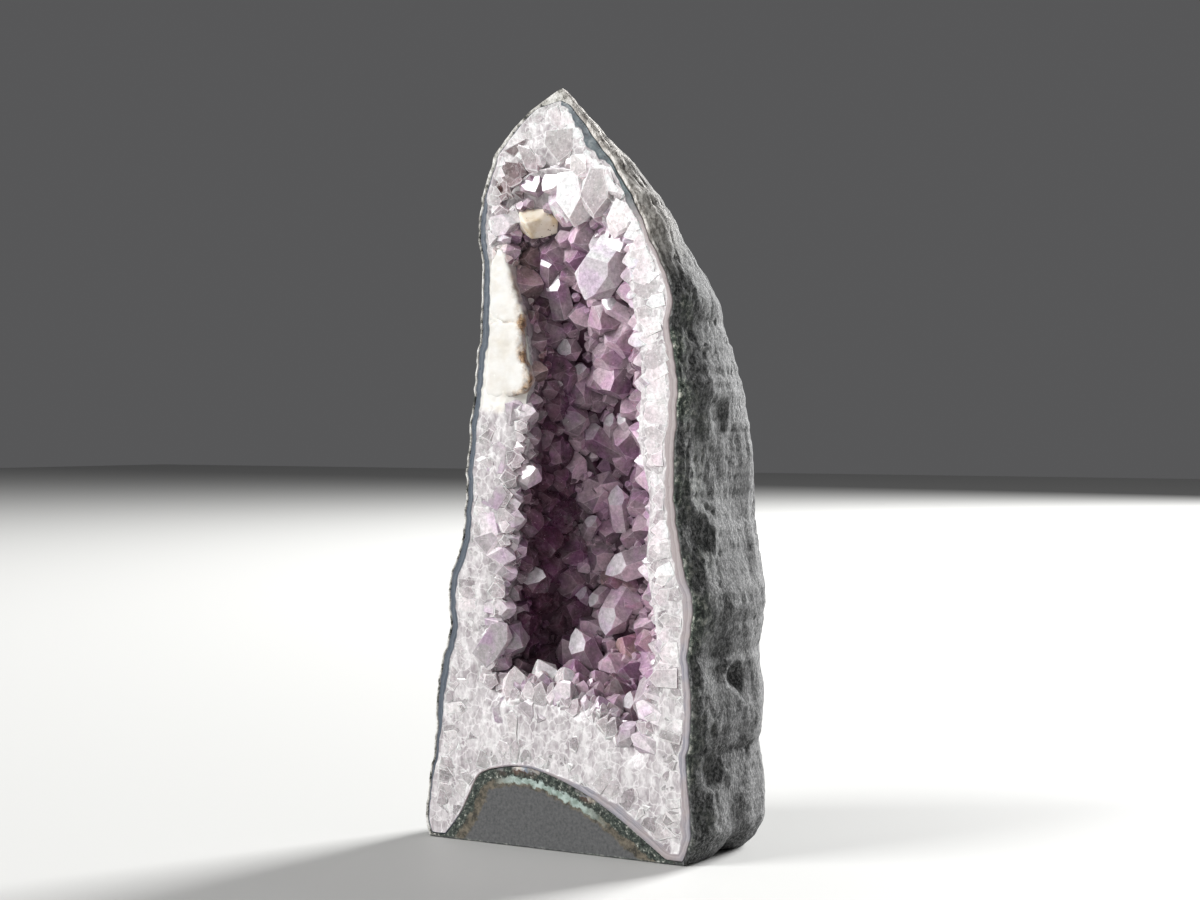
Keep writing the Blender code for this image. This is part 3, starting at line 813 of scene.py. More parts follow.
def crystal(tip, turned, width, length, wear, colours, chance, painted_glint=None):
    """A quartz crystal: a six-sided prism cut by six leaning faces that meet near the tip.

    wear sets each of those faces back, colours are those of its point and of its root, and
    the last argument is the way that its bright face faces, with the highlight colour painted on that face.
    """
    saw = saw_cut(tip, chance)
    axis = turned.col[2]
    while length > 0 and not buried(tip - axis * length, width / 2 + LIP):
        length -= MM
    bm = pointed_prism(width, length, wear)
    bm.transform(Matrix.Translation(tip) @ turned.to_4x4())
    trim(bm, *saw)
    trim(bm, *FOOT_CUT)
    if len(bm.faces) < 4:
        bm.free()
        return None
    bmesh.ops.recalc_face_normals(bm, faces=bm.faces)
    frost = bm.faces.layers.float.new("frost")
    for face in bm.faces:
        face[frost] = chance.uniform(*FROST)
    worn = add_edge_rings(bm, frost)
    bm.normal_update()
    layer = bm.loops.layers.float_color.new("tint")
    for face in bm.faces:
        # The face turned to the main light gets a painted highlight colour instead of its tint
        glint_face = painted_glint and face.normal.dot(painted_glint[0]) > 0.99
        for loop in face.loops:
            behind = limited((tip - loop.vert.co).dot(axis) / (1.3 * width))
            tint = [min(part, PALEST) for part in colours[0].lerp(colours[1], behind) * face[frost]]
            loop[layer] = (*(painted_glint[1] if glint_face else tint), 1 if loop.vert in worn else 0)
    return mesh_object("crystal", bm)


def pointed_prism(width, length, wear):
    """A crystal's shape before it is placed: upright, with its tip at the origin."""
    corner = width / 2 / math.cos(math.radians(30))
    angles = [math.radians(60 * i + 30) for i in range(6)]
    rings = []
    for height, grow in ((-length, 1.06), (width, 1)):
        rings.append([(math.cos(a) * corner * grow, math.sin(a) * corner * grow, height) for a in angles])
    bm = bmesh.new()
    lower, upper = add_grid(bm, rings, True)
    bm.faces.new(lower[::-1])
    bm.faces.new(upper)
    for i in range(6):
        angle = math.radians(60 * i)
        facing = Vector((math.cos(angle), math.sin(angle), 0)) * math.sin(POINT_FACE_LEAN)
        facing.z = math.cos(POINT_FACE_LEAN)
        trim(bm, Vector((0, 0, -wear[i] * width / 2)), facing)
    return bm


def trim(bm, place, facing):
    """Cuts away what lies beyond a plane and closes the cut."""
    parts = bm.verts[:] + bm.edges[:] + bm.faces[:]
    made = bmesh.ops.bisect_plane(bm, geom=parts, plane_co=place, plane_no=facing, clear_outer=True)
    rim = [item for item in made["geom_cut"] if isinstance(item, bmesh.types.BMEdge)]
    if len(rim) > 2:
        bmesh.ops.edgeloop_fill(bm, edges=rim)


def add_edge_rings(bm, frost):
    """Gives each face a narrow ring along its edges; returns the corners that lie on the edges."""
    corners = set(bm.verts)
    for face in bm.faces[:]:
        centre = face.calc_center_median()
        places = [vert.co for vert in face.verts]
        sides = zip(places, places[1:] + places[:1])
        reach = min((geometry.intersect_point_line(centre, a, b)[0] - centre).length for a, b in sides)
        if reach < 1.5 * EDGE_WIDTH:
            continue
        share = 1 - EDGE_WIDTH / reach
        outer = face.verts[:]
        inner = [bm.verts.new(centre + (place - centre) * share) for place in places]
        value = face[frost]
        bm.faces.remove(face)
        made = [bm.faces.new(inner)]
        for i in range(len(outer)):
            j = (i + 1) % len(outer)
            made.append(bm.faces.new((outer[i], outer[j], inner[j], inner[i])))
        for part in made:
            part[frost] = value
    return corners


def turned_to(axis, turn):
    """Rotation that sets a crystal's axis this way and turns it about that axis."""
    aside = axis.orthogonal().normalized()
    return Matrix((aside, axis.cross(aside), axis)).transposed() @ Matrix.Rotation(turn, 3, "Z")


def random_way(chance):
    return Vector([chance.uniform(-1, 1) for _ in range(3)])


def random_wear(chance):
    """How far each of the six point faces is set back: three large faces, three small."""
    return [chance.uniform(*(LARGE_WEAR if i % 2 == 0 else SMALL_WEAR)) for i in range(6)]


def saw_cut(tip, chance):
    """The saw's plane as it meets one crystal: a little uneven from crystal to crystal."""
    facing = Vector((chance.uniform(-0.04, 0.04), -1, chance.uniform(-0.04, 0.04))).normalized()
    return Vector((tip.x, chance.uniform(0.05, 0.45) * MM, tip.z)), facing


def edge_crossing(edge, direction):
    """Distance from the bowl's centre to an edge on the face, along this direction."""
    far = 0
    for start, end in zip(edge, edge[1:] + edge[:1]):
        a = start - BOWL_CENTRE
        b = end - BOWL_CENTRE
        run = b - a
        cross = direction.x * run.z - direction.z * run.x
        if abs(cross) < 1e-12:
            continue
        along = (a.x * run.z - a.z * run.x) / cross
        share = (a.x * direction.z - a.z * direction.x) / cross
        if 0 <= share <= 1 and along > far:
            far = along
    return far


def in_hollow(point, edge):
    """Whether a point is in the open hollow."""
    flat = Vector((point.x, 0, point.z)) - BOWL_CENTRE
    if flat.length < 1e-6:
        return point.y < HOLLOW_SHARE * BODY_DEPTH
    share = flat.length / edge_crossing(edge, flat.normalized())
    if share >= 1:
        return False
    sink = (1 - share**BOWL_POWER) ** (1 / BOWL_POWER)
    return point.y < HOLLOW_SHARE * body_depth(point.z) * sink


def in_cream_patch(point):
    low, high = CREAM_HEIGHTS
    return point.x < 0 and low * MM < point.z < high * MM


def settled(tip, axis, width, edge, front):
    """The tip moved back along the sight line until the crystal stands on its wall."""
    while in_hollow(tip - axis * width, edge):
        tip = tip - TO_VIEWER * MM
    if in_cream_patch(tip):
        front = BEHIND_CREAM
    while tip.y < front:
        tip = tip - TO_VIEWER * MM
    return tip


def seen_way(degrees):
    """Direction across the sight line, clockwise from up as seen."""
    way = math.radians(degrees)
    return VIEW_RIGHT * math.sin(way) + Vector((0, 0, math.cos(way)))


def large_crystal(row, edge, chance):
    """One of the crystals that stand out, moved back along the sight line to its wall."""
    across, up, width, lean_way, lean, turn = row
    width *= LARGE_GROWTH * MM
    tilt = math.radians(lean)
    axis = TO_VIEWER * math.cos(tilt) + seen_way(lean_way) * math.sin(tilt)
    tip = settled(face_point(across, up), axis, width, edge, 3 * MM)
    wear = random_wear(chance)
    colours = depth_colours(tip, chance)
    return crystal(tip, turned_to(axis, math.radians(turn)), width, width + ROOT_DEPTH, wear, colours, chance)


def bright_crystal(row, edge, chance):
    """A crystal with one large face turned to send the main light to the viewer, with a highlight painted on
    that face.
    """
    across, up, width, tip_way, off = row
    width *= MM
    glance = (KEY_DIRECTION + TO_VIEWER).normalized()
    aside = glance.cross(seen_way(chance.uniform(0, 360))).normalized()
    glance = glance * math.cos(math.radians(off)) + aside * math.sin(math.radians(off))
    along = seen_way(tip_way)
    along = (along - glance * along.dot(glance)).normalized()
    axis = glance * math.cos(POINT_FACE_LEAN) + along * math.sin(POINT_FACE_LEAN)
    outward = (glance - axis * axis.dot(glance)).normalized()
    turned = Matrix((outward, axis.cross(outward), axis)).transposed()
    stand = max(1.35 * width, BRIGHT_STAND)
    wear = [0.5 * share for share in random_wear(chance)]
    wear[0] = 0.5
    tip = settled(face_point(across, up) + along * width * 0.3, axis, stand, edge, 0.8 * MM)
    tip = tip + glance * wear[0] * width / 2
    colours = depth_colours(tip, chance)
    # That face's colour is a painted highlight
    painted_glint = (glance, PAINTED_HIGHLIGHT if off < 12 else SOFT_PAINTED_HIGHLIGHT)
    return crystal(tip, turned, width, stand + ROOT_DEPTH, wear, colours, chance, painted_glint)


def depth_colours(place, chance):
    """Colours of one crystal's point and root: pale near the face and the top, mauve deep inside, partly as
    painted shade, which also darkens a band just left of the middle as seen; painted light pales the right.
    """
    seen = place.dot(VIEW_RIGHT) / MM
    # Painted shade and light: deeper colour with depth and in a band just left of the middle as seen, paler
    # to the right as seen
    right = smooth_step(*SHADE_END, seen)
    shade = float(hill(SHADE_START, SHADE_END, seen))
    inner = DEPTH_SHARE * limited((place.y - DEPTH_START) / DEPTH_REACH)
    inner = max(inner, shade * limited(place.y / SHADE_REACH)) * (1 - 0.9 * right)
    inner *= limited((PALE_HEIGHT - place.z) / PALE_REACH)
    share = limited(inner + chance.uniform(-COLOUR_SPREAD, COLOUR_SPREAD))
    near = BLEACH * float(1 - smooth_step(*BLEACH_END, place.y / MM))
    bleached = NEAR_FACE * side_tone(place)
    pairs = ((PALE_POINT, DEEP_SHADED_POINT), (PALE_ROOT, DEEP_SHADED_ROOT))
    return stained([pale.lerp(deep, share).lerp(bleached, near) for pale, deep in pairs], place, chance)


def side_tone(point):
    """The right band is made lighter than the left one, the top lighter, and the feet darker."""
    tone = lerp(*SIDE_TONES, limited(point.x / TONE_REACH + 0.5))
    top = 1 + TOP_LIGHT * limited((point.z - TOP_START) / TONE_REACH)
    dimmest, reach = LEFT_FOOT if point.x < 0 else RIGHT_FOOT
    return tone * top * lerp(dimmest, 1, limited(point.z / reach))


def toned(colours, point):
    return [colour * side_tone(point) for colour in colours]


def stained(colours, place, chance):
    """The colours with the rust of the places nearby."""
    seen = place.dot(VIEW_RIGHT) / MM
    for across, up, radius, strength, rust in STAINS:
        away = math.hypot(seen - across * VIEW_RIGHT.x, place.z / MM - up) / radius
        share = strength * limited(1.5 - away) * chance.uniform(0.6, 1)
        colours = [colour.lerp(rust, share) for colour in colours]
    return colours


def wall_point(edge, place, dip):
    """Point of the hollow's wall; place counts along the edge's points, dip runs inwards."""
    index = int(place) % len(edge)
    after = edge[(index + 1) % len(edge)]
    return bowl_point(edge[index].lerp(after, place % 1), dip, HOLLOW_SHARE)


def wall_frame(edge, place, dip):
    """Point of the hollow's wall and the direction that leads from it into the open."""
    point = wall_point(edge, place, dip)
    aside = wall_point(edge, place + 0.2, dip) - point
    deeper = wall_point(edge, place, dip + 0.02) - point
    return point, aside.cross(deeper).normalized()


def fill_crystals(edge, taken, chance):
    """The smaller crystals, thrown at the wall wherever there is still room, coarse first."""
    made = []
    throws = [size for size in FILL_SIZES for _ in range(size[1])]
    for widths, _, spacing in throws:
        place = chance.uniform(0, len(edge))
        dip = chance.uniform(0.02, 0.98)
        width = chance.uniform(*widths) * MM
        jitter = random_way(chance)
        turn = chance.uniform(0, math.tau)
        wear = random_wear(chance)
        foot, normal = wall_frame(edge, place, dip)
        if in_cream_patch(foot) and foot.y < CREAM_DEPTH:
            continue
        if foot.y < SHALLOW:
            width = min(width, SHALLOW_WIDTH)
        if not all((foot - other).length > spacing * (width + wide) / 2 for other, wide in taken):
            continue
        taken.append((foot, width))
        axis = (normal + 0.27 * jitter + Vector((0, -0.2, 0))).normalized()
        stand = width * (0.68 + 0.2 * jitter.x) + 1.0 * MM
        tip = foot + axis * stand
        tip.y = max(tip.y, (1.2 + 1.2 * abs(jitter.y)) * MM)
        colours = depth_colours(foot, chance)
        made.append(crystal(tip, turned_to(axis, turn), width, stand + ROOT_DEPTH, wear, colours, chance))
    return made


def rim_layer(layer, rim, tree, chance):
    """Crystals that grow from the rind to the hollow's edge, cut through by the saw."""
    widths, spacing, reach, depths, colours = layer
    made = []
    place = chance.uniform(0, 3)
    while place < len(rim):
        width = chance.uniform(*widths) * MM
        place += spacing * width / MM
        point = rim[int(place) % len(rim)]
        grown = point - tree.find(point)[0]
        jitter = random_way(chance)
        out = standing_out(point.x, point.z)
        outwards = (0.14 * out - 0.12) * chance.uniform(0.1 if grown.length < NARROW_BAND else 0.9, 1.5)
        axis = (grown.normalized() + 0.2 * jitter + Vector((0, -outwards, 0))).normalized()
        depth = chance.uniform(*depths) * MM
        beyond = chance.uniform(*reach) * MM * min(out / 3, 1)
        tip = point + axis * beyond + Vector((0, depth, 0))
        length = min(grown.length * 0.85, LONGEST_RIM)
        turn = chance.uniform(0, math.tau)
        wear = random_wear(chance)
        if not in_cream_patch(point):
            rusty = stained(toned(colours, tip), tip, chance)
            made.append(crystal(tip, turned_to(axis, turn), width, length, wear, rusty, chance))
    return made


def placed_crystal(row, chance):
    """One of the crystals that hang from the top or stand on the sill."""
    across, into, up, width, length, way, lean = row
    way, lean = math.radians(way), math.radians(lean)
    tip = Vector((across, into, up)) * MM
    flat = Vector((math.sin(way), 0, math.cos(way)))
    axis = flat * math.cos(lean) + Vector((0, -math.sin(lean), 0))
    turned = turned_to(axis, chance.uniform(0, math.tau))
    rusty = stained(HANGING_COLOURS, tip, chance)
    return crystal(tip, turned, width * MM, length * MM, random_wear(chance), rusty, chance)


def band_layer(layer, outer, inner, chance):
    """Shorter crystals between the rind and the rim crystals, also sawn through."""
    widths, lengths, spacing, depths, lean, highest = layer
    outer_flat, inner_flat = as_flat(outer), as_flat(inner)
    made = []
    place = 0.0
    while place < len(outer):
        width = chance.uniform(*widths) * MM
        place += spacing * width / RING_STEP
        index = int(place) % len(outer)
        root = outer[index]
        along = (outer[(index + 2) % len(outer)] - outer[index - 2]).normalized()
        inward = Vector((-along.z, 0, along.x))
        axis = (inward + 0.22 * random_way(chance) + Vector((0, -lean, 0))).normalized()
        start = agate_width(root) * MM + 0.5 * MM
        length = chance.uniform(*lengths) * MM
        depth = width * chance.uniform(*depths)
        tip = root + inward * (start + length) + Vector((0, depth, 0))
        turn = chance.uniform(0, math.tau)
        wear = random_wear(chance)
        hollow = inside_mask(as_flat([tip]), inner_flat)[0]
        sunk = inside_mask(as_flat([tip + inward * 2 * MM]), outer_flat)[0]
        grows = LOWEST_CRYSTAL <= root.z <= highest * MM
        if grows and sunk and not hollow and not in_cream_patch(tip):
            colours = toned(BAND_COLOURS, tip)
            made.append(crystal(tip, turned_to(axis, turn), width, length, wear, colours, chance))
    return made


def unite(target, other):
    modifier = target.modifiers.new("join", "BOOLEAN")
    modifier.operation = "UNION"
    modifier.solver = "MANIFOLD"
    modifier.object = other
    bpy.context.view_layer.update()
    evaluated = target.evaluated_get(bpy.context.evaluated_depsgraph_get())
    target.data = bpy.data.meshes.new_from_object(evaluated)
    target.modifiers.clear()
    bpy.data.objects.remove(other)


def merged(name, made):
    """One closed body made from crystals that pass through each other."""
    objects = [one for one in made if one]
    while len(objects) > 1:
        for first, second in zip(objects[::2], objects[1::2]):
            unite(first, second)
        objects = objects[::2]
    objects[0].name = name
    return objects[0]


def make_hollow_crystals():
    edge = [face_point(*row) for row in HOLLOW_EDGE]
    chance = random.Random(SEED)
    made = [large_crystal(row, edge, chance) for row in LARGE_CRYSTALS]
    made += [bright_crystal(row, edge, chance) for row in BRIGHT_CRYSTALS]
    taken = []
    for one, row in zip(made, LARGE_CRYSTALS + BRIGHT_CRYSTALS):
        places = [vert.co for vert in one.data.vertices]
        deepest = max(places, key=lambda place: place.y)
        nearest = min(places, key=lambda place: place.y)
        share, width = (0.4, row[2] + 2) if row in BRIGHT_CRYSTALS else (0.6, 0.8 * row[2])
        taken.append((nearest.lerp(deepest, share), width * MM))
    block = calcite_place()
    taken += [(block, CALCITE_EDGES[0]), (block + TO_VIEWER * CALCITE_EDGES[1] / 2, CALCITE_EDGES[0])]
    made += fill_crystals(edge, taken, chance)
    return merged("amethyst_crystals", made)


def make_rim_crystals(outer):
    rim = smooth_line(HOLLOW_EDGE, MM, True)
    tree = tree_of(outer)
    chance = random.Random(SEED + 1)
    made = []
    for layer in RIM_LAYERS:
        made += rim_layer(layer, rim, tree, chance)
    made += [placed_crystal(row, chance) for row in HANGING_CRYSTALS + SILL_CRYSTALS]
    for layer in BAND_LAYERS:
        made += band_layer(layer, outer, rim, chance)
    return merged("rim_crystals", made)


# Calcite

def make_cream_calcite(rng):
    """The cream calcite on the left, sawn flush with the face and broken off at the hollow."""
    edge = smooth_line(CREAM_EDGE, CREAM_STEP, True)
    middle = sum(edge, Vector()) / len(edge)
    ragged = []
    for point in edge:
        wave = 0.5 * noise.noise(point / (4 * MM)) + 0.35 * noise.noise(point / (1.6 * MM))
        ragged.append(point + (point - middle).normalized() * wave * MM)
    hole = [middle + (point - middle) * 0.02 for point in ragged[::8]]
    rings = [ragged]
    for share in (0.08, 0.3, 0.6, 1.0):
        ring = []
        for point in ragged:
            broken = 0.9 * noise.noise(Vector((point.x, share * CREAM_DEPTH, point.z)) / (3 * MM))
            inward = (middle - point).normalized() * (broken - 0.5 + 3.5 * share * share) * MM
            ring.append(point + inward + Vector((0, share * CREAM_DEPTH, 0)))
        rings.append(ring)
    bm = bmesh.new()
    add_triangles(bm, *fill_region(ragged, hole, CREAM_STEP, rng))
    bm.faces.new([bm.verts.new(point) for point in hole])
    bm.faces.new(add_grid(bm, rings, True)[-1])
    piece = welded("cream_calcite", bm)

    places = mesh_points(piece)
    edge_away, _ = distances(places, ragged)
    crack = np.abs(places[:, 2] / MM - CREAM_CRACK - 1.2 * noise_at(places, 5 * MM))
    dents = 0.10 + 0.18 * noise_at(places, 5 * MM) + 0.10 * noise_at(places, 1.8 * MM)
    dents += 0.35 * np.exp(-(crack / 0.5) ** 2) + 0.5 * np.clip(1 - edge_away / MM, 0, 1)
    places[:, 1] += np.clip(dents, 0.02, 2) * MM
    move_points(piece, places)
    right = smooth_step(-26, -14, places[:, 0] / MM) * (1 - smooth_step(0.5, 4, edge_away / MM))
    set_attributes(piece, stained=np.clip(right + np.exp(-(crack / 0.6) ** 2) * 0.5, 0, 1))
    return piece


def calcite_place():
    return face_point(*CALCITE_PLACE) - TO_VIEWER * CALCITE_DEPTH


def make_calcite():
    """The cream cleavage block among the crystals near the top."""
    bm = bmesh.new()
    bmesh.ops.create_cube(bm, size=1)
    shear = Matrix.Shear("XY", 4, (CALCITE_SKEW, 0))
    bm.transform(CALCITE_TURN.to_matrix().to_4x4() @ shear @ Matrix.Diagonal((*CALCITE_EDGES, 1)))
    for facing, share in CALCITE_BREAKS:
        facing = Vector(facing).normalized()
        trim(bm, facing * share * CALCITE_EDGES[0], facing)
    bmesh.ops.bevel(bm, geom=bm.edges[:], offset=0.7 * MM, segments=3, profile=0.5, affect="EDGES")
    bm.transform(Matrix.Translation(calcite_place()))
    return mesh_object("calcite_block", bm)


# Materials

class Shader:
    """A material's node tree, with short calls for the nodes used here."""

    def __init__(self, name):
        self.material = bpy.data.materials.new(name)
        self.material.use_nodes = True
        self.tree = self.material.node_tree
        self.place = self.node("TexCoord", {})["Object"]

    def link(self, source, socket):
        """Feeds a socket from another node's output, or sets it to a number or colour."""
        if isinstance(source, bpy.types.NodeSocket):
            self.tree.links.new(source, socket)
        elif socket.type == "RGBA":
            socket.default_value = (*source, 1)
        else:
            socket.default_value = source

    def node(self, kind, inputs, **settings):
        """A new node with these settings and inputs; returns its outputs."""
        made = self.tree.nodes.new("ShaderNode" + kind)
        for name, setting in settings.items():
            setattr(made, name, setting)
        for name, source in inputs.items():
            self.link(source, made.inputs[name])
        return made.outputs

    def set(self, name, source):
        self.link(source, self.tree.nodes["Principled BSDF"].inputs[name])

    def attribute(self, name, output="Fac"):
        return self.node("Attribute", {}, attribute_name=name)[output]

    def stretched(self, up):
        """The place, with the patterns on it drawn out along the height."""
        return self.node("Mapping", {"Vector": self.place, "Scale": (1, 1, up)})["Vector"]

    def noise(self, scale, detail=4.0, roughness=0.55, place=None):
        inputs = {"Vector": place or self.place, "Scale": scale, "Detail": detail, "Roughness": roughness}
        return self.node("TexNoise", inputs)["Fac"]

    def cells(self, scale, feature="F1", bend=None):
        """Distance to the cells' centres or edges; bend is the noise that makes them wander."""
        place = self.place
        if bend:
            scale_of_bend, reach = bend
            wander = self.node("TexNoise", {"Vector": place, "Scale": scale_of_bend})["Color"]
            shift = {0: wander, 1: (reach, reach, reach), 2: place}
            place = self.node("VectorMath", shift, operation="MULTIPLY_ADD")[0]
        return self.node("TexVoronoi", {"Vector": place, "Scale": scale}, feature=feature)["Distance"]

    def ramp(self, source, *stops):
        """Colours by value, from low to high."""
        made = self.node("ValToRGB", {"Fac": source})["Color"]
        elements = made.node.color_ramp.elements
        while len(elements) < len(stops):
            elements.new(0.5)
        for element, (position, colour) in zip(elements, stops):
            element.position = position
            element.color = (*colour, 1)
        return made

    def mottle(self, pattern, *stops):
        """Colours by noise of this scale, detail and roughness."""
        return self.ramp(self.noise(*pattern), *stops)

    def levels(self, source, low, high, to_low=0.0, to_high=1.0):
        """A value stretched from one range to another, and held at its ends."""
        inputs = {"Value": source, "From Min": low, "From Max": high, "To Min": to_low, "To Max": to_high}
        return self.node("MapRange", inputs)["Result"]

    def patches(self, pattern, low, high, to_low=0.0, to_high=1.0):
        """Noise of this scale, detail and roughness, stretched to a range."""
        return self.levels(self.noise(*pattern), low, high, to_low, to_high)

    def maths(self, operation, first, second):
        return self.node("Math", {0: first, 1: second}, operation=operation)["Value"]

    def times(self, first, second):
        return self.maths("MULTIPLY", first, second)

    def mix(self, share, first, second, blend="MIX"):
        inputs = {"Factor": share, 6: first, 7: second}
        return self.node("Mix", inputs, data_type="RGBA", blend_type=blend)[2]

    def bump(self, height, strength, distance):
        inputs = {"Height": height, "Strength": strength, "Distance": distance}
        self.set("Normal", self.node("Bump", inputs)["Normal"])

    def soften(self, weight, radius, scale):
        """Lets light wander under the surface: its share, its reach by colour, and its scale."""
        self.set("Subsurface Weight", weight)
        self.set("Subsurface Radius", radius)
        self.set("Subsurface Scale", scale)


def broken_colour(shader, streaks, grain):
    """The broken skin: dark grey, green along the seam and brown near the top."""
    rough = shader.ramp(streaks, (0.42, (0.004, 0.004, 0.005)), (0.50, (0.036, 0.037, 0.038)),
                        (0.60, (0.19, 0.19, 0.19)))
    fine = shader.ramp(grain, (0.43, (0.004, 0.004, 0.005)), (0.50, (0.040, 0.041, 0.042)),
                       (0.58, (0.27, 0.27, 0.27)))
    rough = shader.mix(0.55, rough, fine)
    rough = shader.mix(shader.patches((60, 4, 0.6), 0.42, 0.68, 0.0, 0.4), rough, (0.04, 0.041, 0.042))
    green = shader.mottle((400, 5, 0.75), (0.41, (0.007, 0.009, 0.008)), (0.48, (0.042, 0.055, 0.045)),
                          (0.54, (0.115, 0.14, 0.11)), (0.61, (0.45, 0.45, 0.40)))
    seam = shader.times(shader.attribute("seam"), shader.patches((60, 3), 0.40, 0.62, 0.1, 1.6))
    brown = shader.mottle((420, 5, 0.75, shader.stretched(0.5)), (0.34, (0.05, 0.045, 0.04)),
                          (0.45, (0.30, 0.275, 0.25)), (0.56, (0.70, 0.67, 0.63)))
    return shader.mix(shader.attribute("strip"), shader.mix(seam, rough, green), brown)


def mound_colour(shader, across):
    """The sawn mound: speckled grey under bands of mint, olive, rust and dark green."""
    specks = shader.mottle((800, 3, 0.6), (0.30, (0.055, 0.056, 0.057)), (0.5, (0.080, 0.081, 0.082)),
                           (0.75, (0.11, 0.111, 0.111)))
    spots = shader.levels(shader.cells(135, bend=(400, 3 * MM)), 0.08, 0.15)
    middle = shader.times(shader.levels(across, *MINT_START), shader.levels(across, *MINT_END, 1, 0))
    patchy = shader.patches((95, 3), 0.44, 0.58)
    ragged = shader.patches((260, 5, 0.7), 0.3, 0.7, -1.4, 1.4)
    arch = shader.maths("ADD", shader.attribute("arch"), ragged)
    dark = shader.mottle((560, 4, 0.75), (0.38, (0.008, 0.009, 0.008)), (0.49, (0.026, 0.036, 0.030)),
                         (0.58, (0.085, 0.095, 0.08)), (0.66, (0.45, 0.45, 0.41)))
    olive = shader.mottle((420, 4, 0.7), (0.38, (0.034, 0.031, 0.024)), (0.62, (0.14, 0.12, 0.09)))
    mint = shader.mottle((330, 4, 0.6), (0.36, (0.17, 0.22, 0.19)), (0.60, (0.36, 0.43, 0.40)))
    pale = shader.mottle((150, 3, 0.6), (0.40, (0.16, 0.20, 0.25)), (0.52, (0.50, 0.49, 0.48)),
                         (0.66, (0.50, 0.42, 0.30)))
    rusty = shader.mix(patchy, dark, (0.115, 0.060, 0.045))
    dark = shader.mix(shader.times(middle, shader.levels(arch, 1, 3.4, 1, 0)), dark, rusty)
    edge = shader.mix(shader.times(middle, patchy), dark, pale)
    band = shader.mix(shader.levels(arch, 0.9, 1.5), edge, dark)
    band = shader.mix(shader.levels(arch, 3.6, 4.3), band, shader.mix(middle, olive, mint))
    band = shader.mix(shader.levels(arch, 6.2, 7.0), band, olive)
    return shader.mix(shader.levels(arch, 7.4, 8.4), band, shader.mix(spots, (0.02, 0.02, 0.021), specks))


def basalt_material():
    shader = Shader("basalt")
    streaks = shader.noise(520, 6, 0.75, shader.stretched(0.65))
    grain = shader.noise(900, 4, 0.75, shader.stretched(0.8))
    across = shader.node("SeparateXYZ", {"Vector": shader.place})["X"]
    lip = shader.mottle((200, 5, 0.75), (0.40, (0.03, 0.032, 0.028)), (0.47, (0.34, 0.33, 0.30)),
                        (0.58, (0.66, 0.65, 0.62)))
    left = shader.times(shader.attribute("lip"), shader.levels(across, *PALE_LIP_END, 1, 0))
    sawn = shader.attribute("sawn")
    colour = shader.mix(left, broken_colour(shader, streaks, grain), lip)
    shader.set("Base Color", shader.mix(sawn, colour, mound_colour(shader, across)))
    shader.set("Roughness", shader.levels(streaks, 0.3, 0.7, 0.75, 0.95))
    shader.set("Specular IOR Level", 0.35)
    height = shader.maths("ADD", streaks, shader.times(grain, 0.5))
    shader.bump(shader.times(height, shader.levels(sawn, 0, 1, 1, 0.08)), 0.8, 1.0 * MM)
    return shader.material


def agate_colour(shader):
    """The rind's fine lines: slate on the left, lavender, beige and teal on the right."""
    wavy = shader.maths("ADD", shader.attribute("out"), shader.patches((120, 3), 0.3, 0.7, -0.5, 0.5))
    lines = shader.noise(1.0, 3, 0.7, shader.node("CombineXYZ", {"X": wavy})[0])
    parts = shader.node("SeparateXYZ", {"Vector": shader.place})
    slate = shader.ramp(lines, (0.35, (0.030, 0.040, 0.054)), (0.5, (0.060, 0.076, 0.098)),
                        (0.7, (0.13, 0.15, 0.18)))
    beige = shader.ramp(lines, (0.35, (0.24, 0.205, 0.205)), (0.5, (0.32, 0.275, 0.275)),
                        (0.7, (0.42, 0.38, 0.38)))
    lavender = shader.ramp(lines, (0.35, (0.13, 0.13, 0.16)), (0.5, (0.26, 0.25, 0.28)),
                           (0.7, (0.44, 0.41, 0.43)))
    lavender = shader.mix(shader.patches((75, 3), 0.42, 0.62), lavender, beige)
    teal = shader.mottle((200, 4, 0.6), (0.40, (0.018, 0.026, 0.031)), (0.54, (0.055, 0.080, 0.088)),
                         (0.70, (0.20, 0.22, 0.22)))
    right = shader.mix(shader.levels(parts["Z"], *BEIGE_HEIGHTS), lavender, beige)
    right = shader.mix(shader.levels(parts["Z"], *TEAL_HEIGHTS), right, teal)
    arch = shader.times(shader.levels(parts["X"], *ARCH_START), shader.levels(parts["Z"], *ARCH_TOP, 1, 0))
    side = shader.maths("MAXIMUM", shader.levels(parts["X"], *RIGHT_SIDE), arch)
    return shader.mix(side, slate, right)


def crust_material():
    shader = Shader("milky quartz")
    milk = shader.mottle((240, 6, 0.7, shader.stretched(0.45)), (0.36, (0.27, 0.235, 0.25)),
                         (0.5, (0.46, 0.43, 0.44)), (0.62, (0.64, 0.62, 0.62)))
    net = shader.cells(190, "DISTANCE_TO_EDGE", (260, 5 * MM))
    milk = shader.mix(shader.levels(net, 0.0, 0.07, 0.75, 0), milk, (0.72, 0.70, 0.70))
    cream = shader.mottle((90, 4), (0.35, (0.62, 0.58, 0.52)), (0.55, (0.70, 0.685, 0.65)))
    milk = shader.mix(shader.attribute("cream"), milk, cream)
    colour = shader.mix(shader.levels(shader.attribute("rind"), 0.92, 1.06), agate_colour(shader), milk)
    # Painted shade: from 2 to 12 mm behind the face the wall turns near-black mauve, partly the amethyst's
    # deep colour and partly shade in the hollow
    deep = shader.levels(shader.attribute("deep"), 2, 12)
    shader.set("Base Color", shader.mix(deep, colour, (0.055, 0.020, 0.038)))
    shader.set("Roughness", shader.patches((500,), 0.3, 0.7, 0.25, 0.5))
    shader.soften(0.3, (1.0, 0.8, 0.9), 2 * MM)
    shader.bump(shader.noise(420, 5, 0.6), 0.5, 0.6 * MM)
    return shader.material


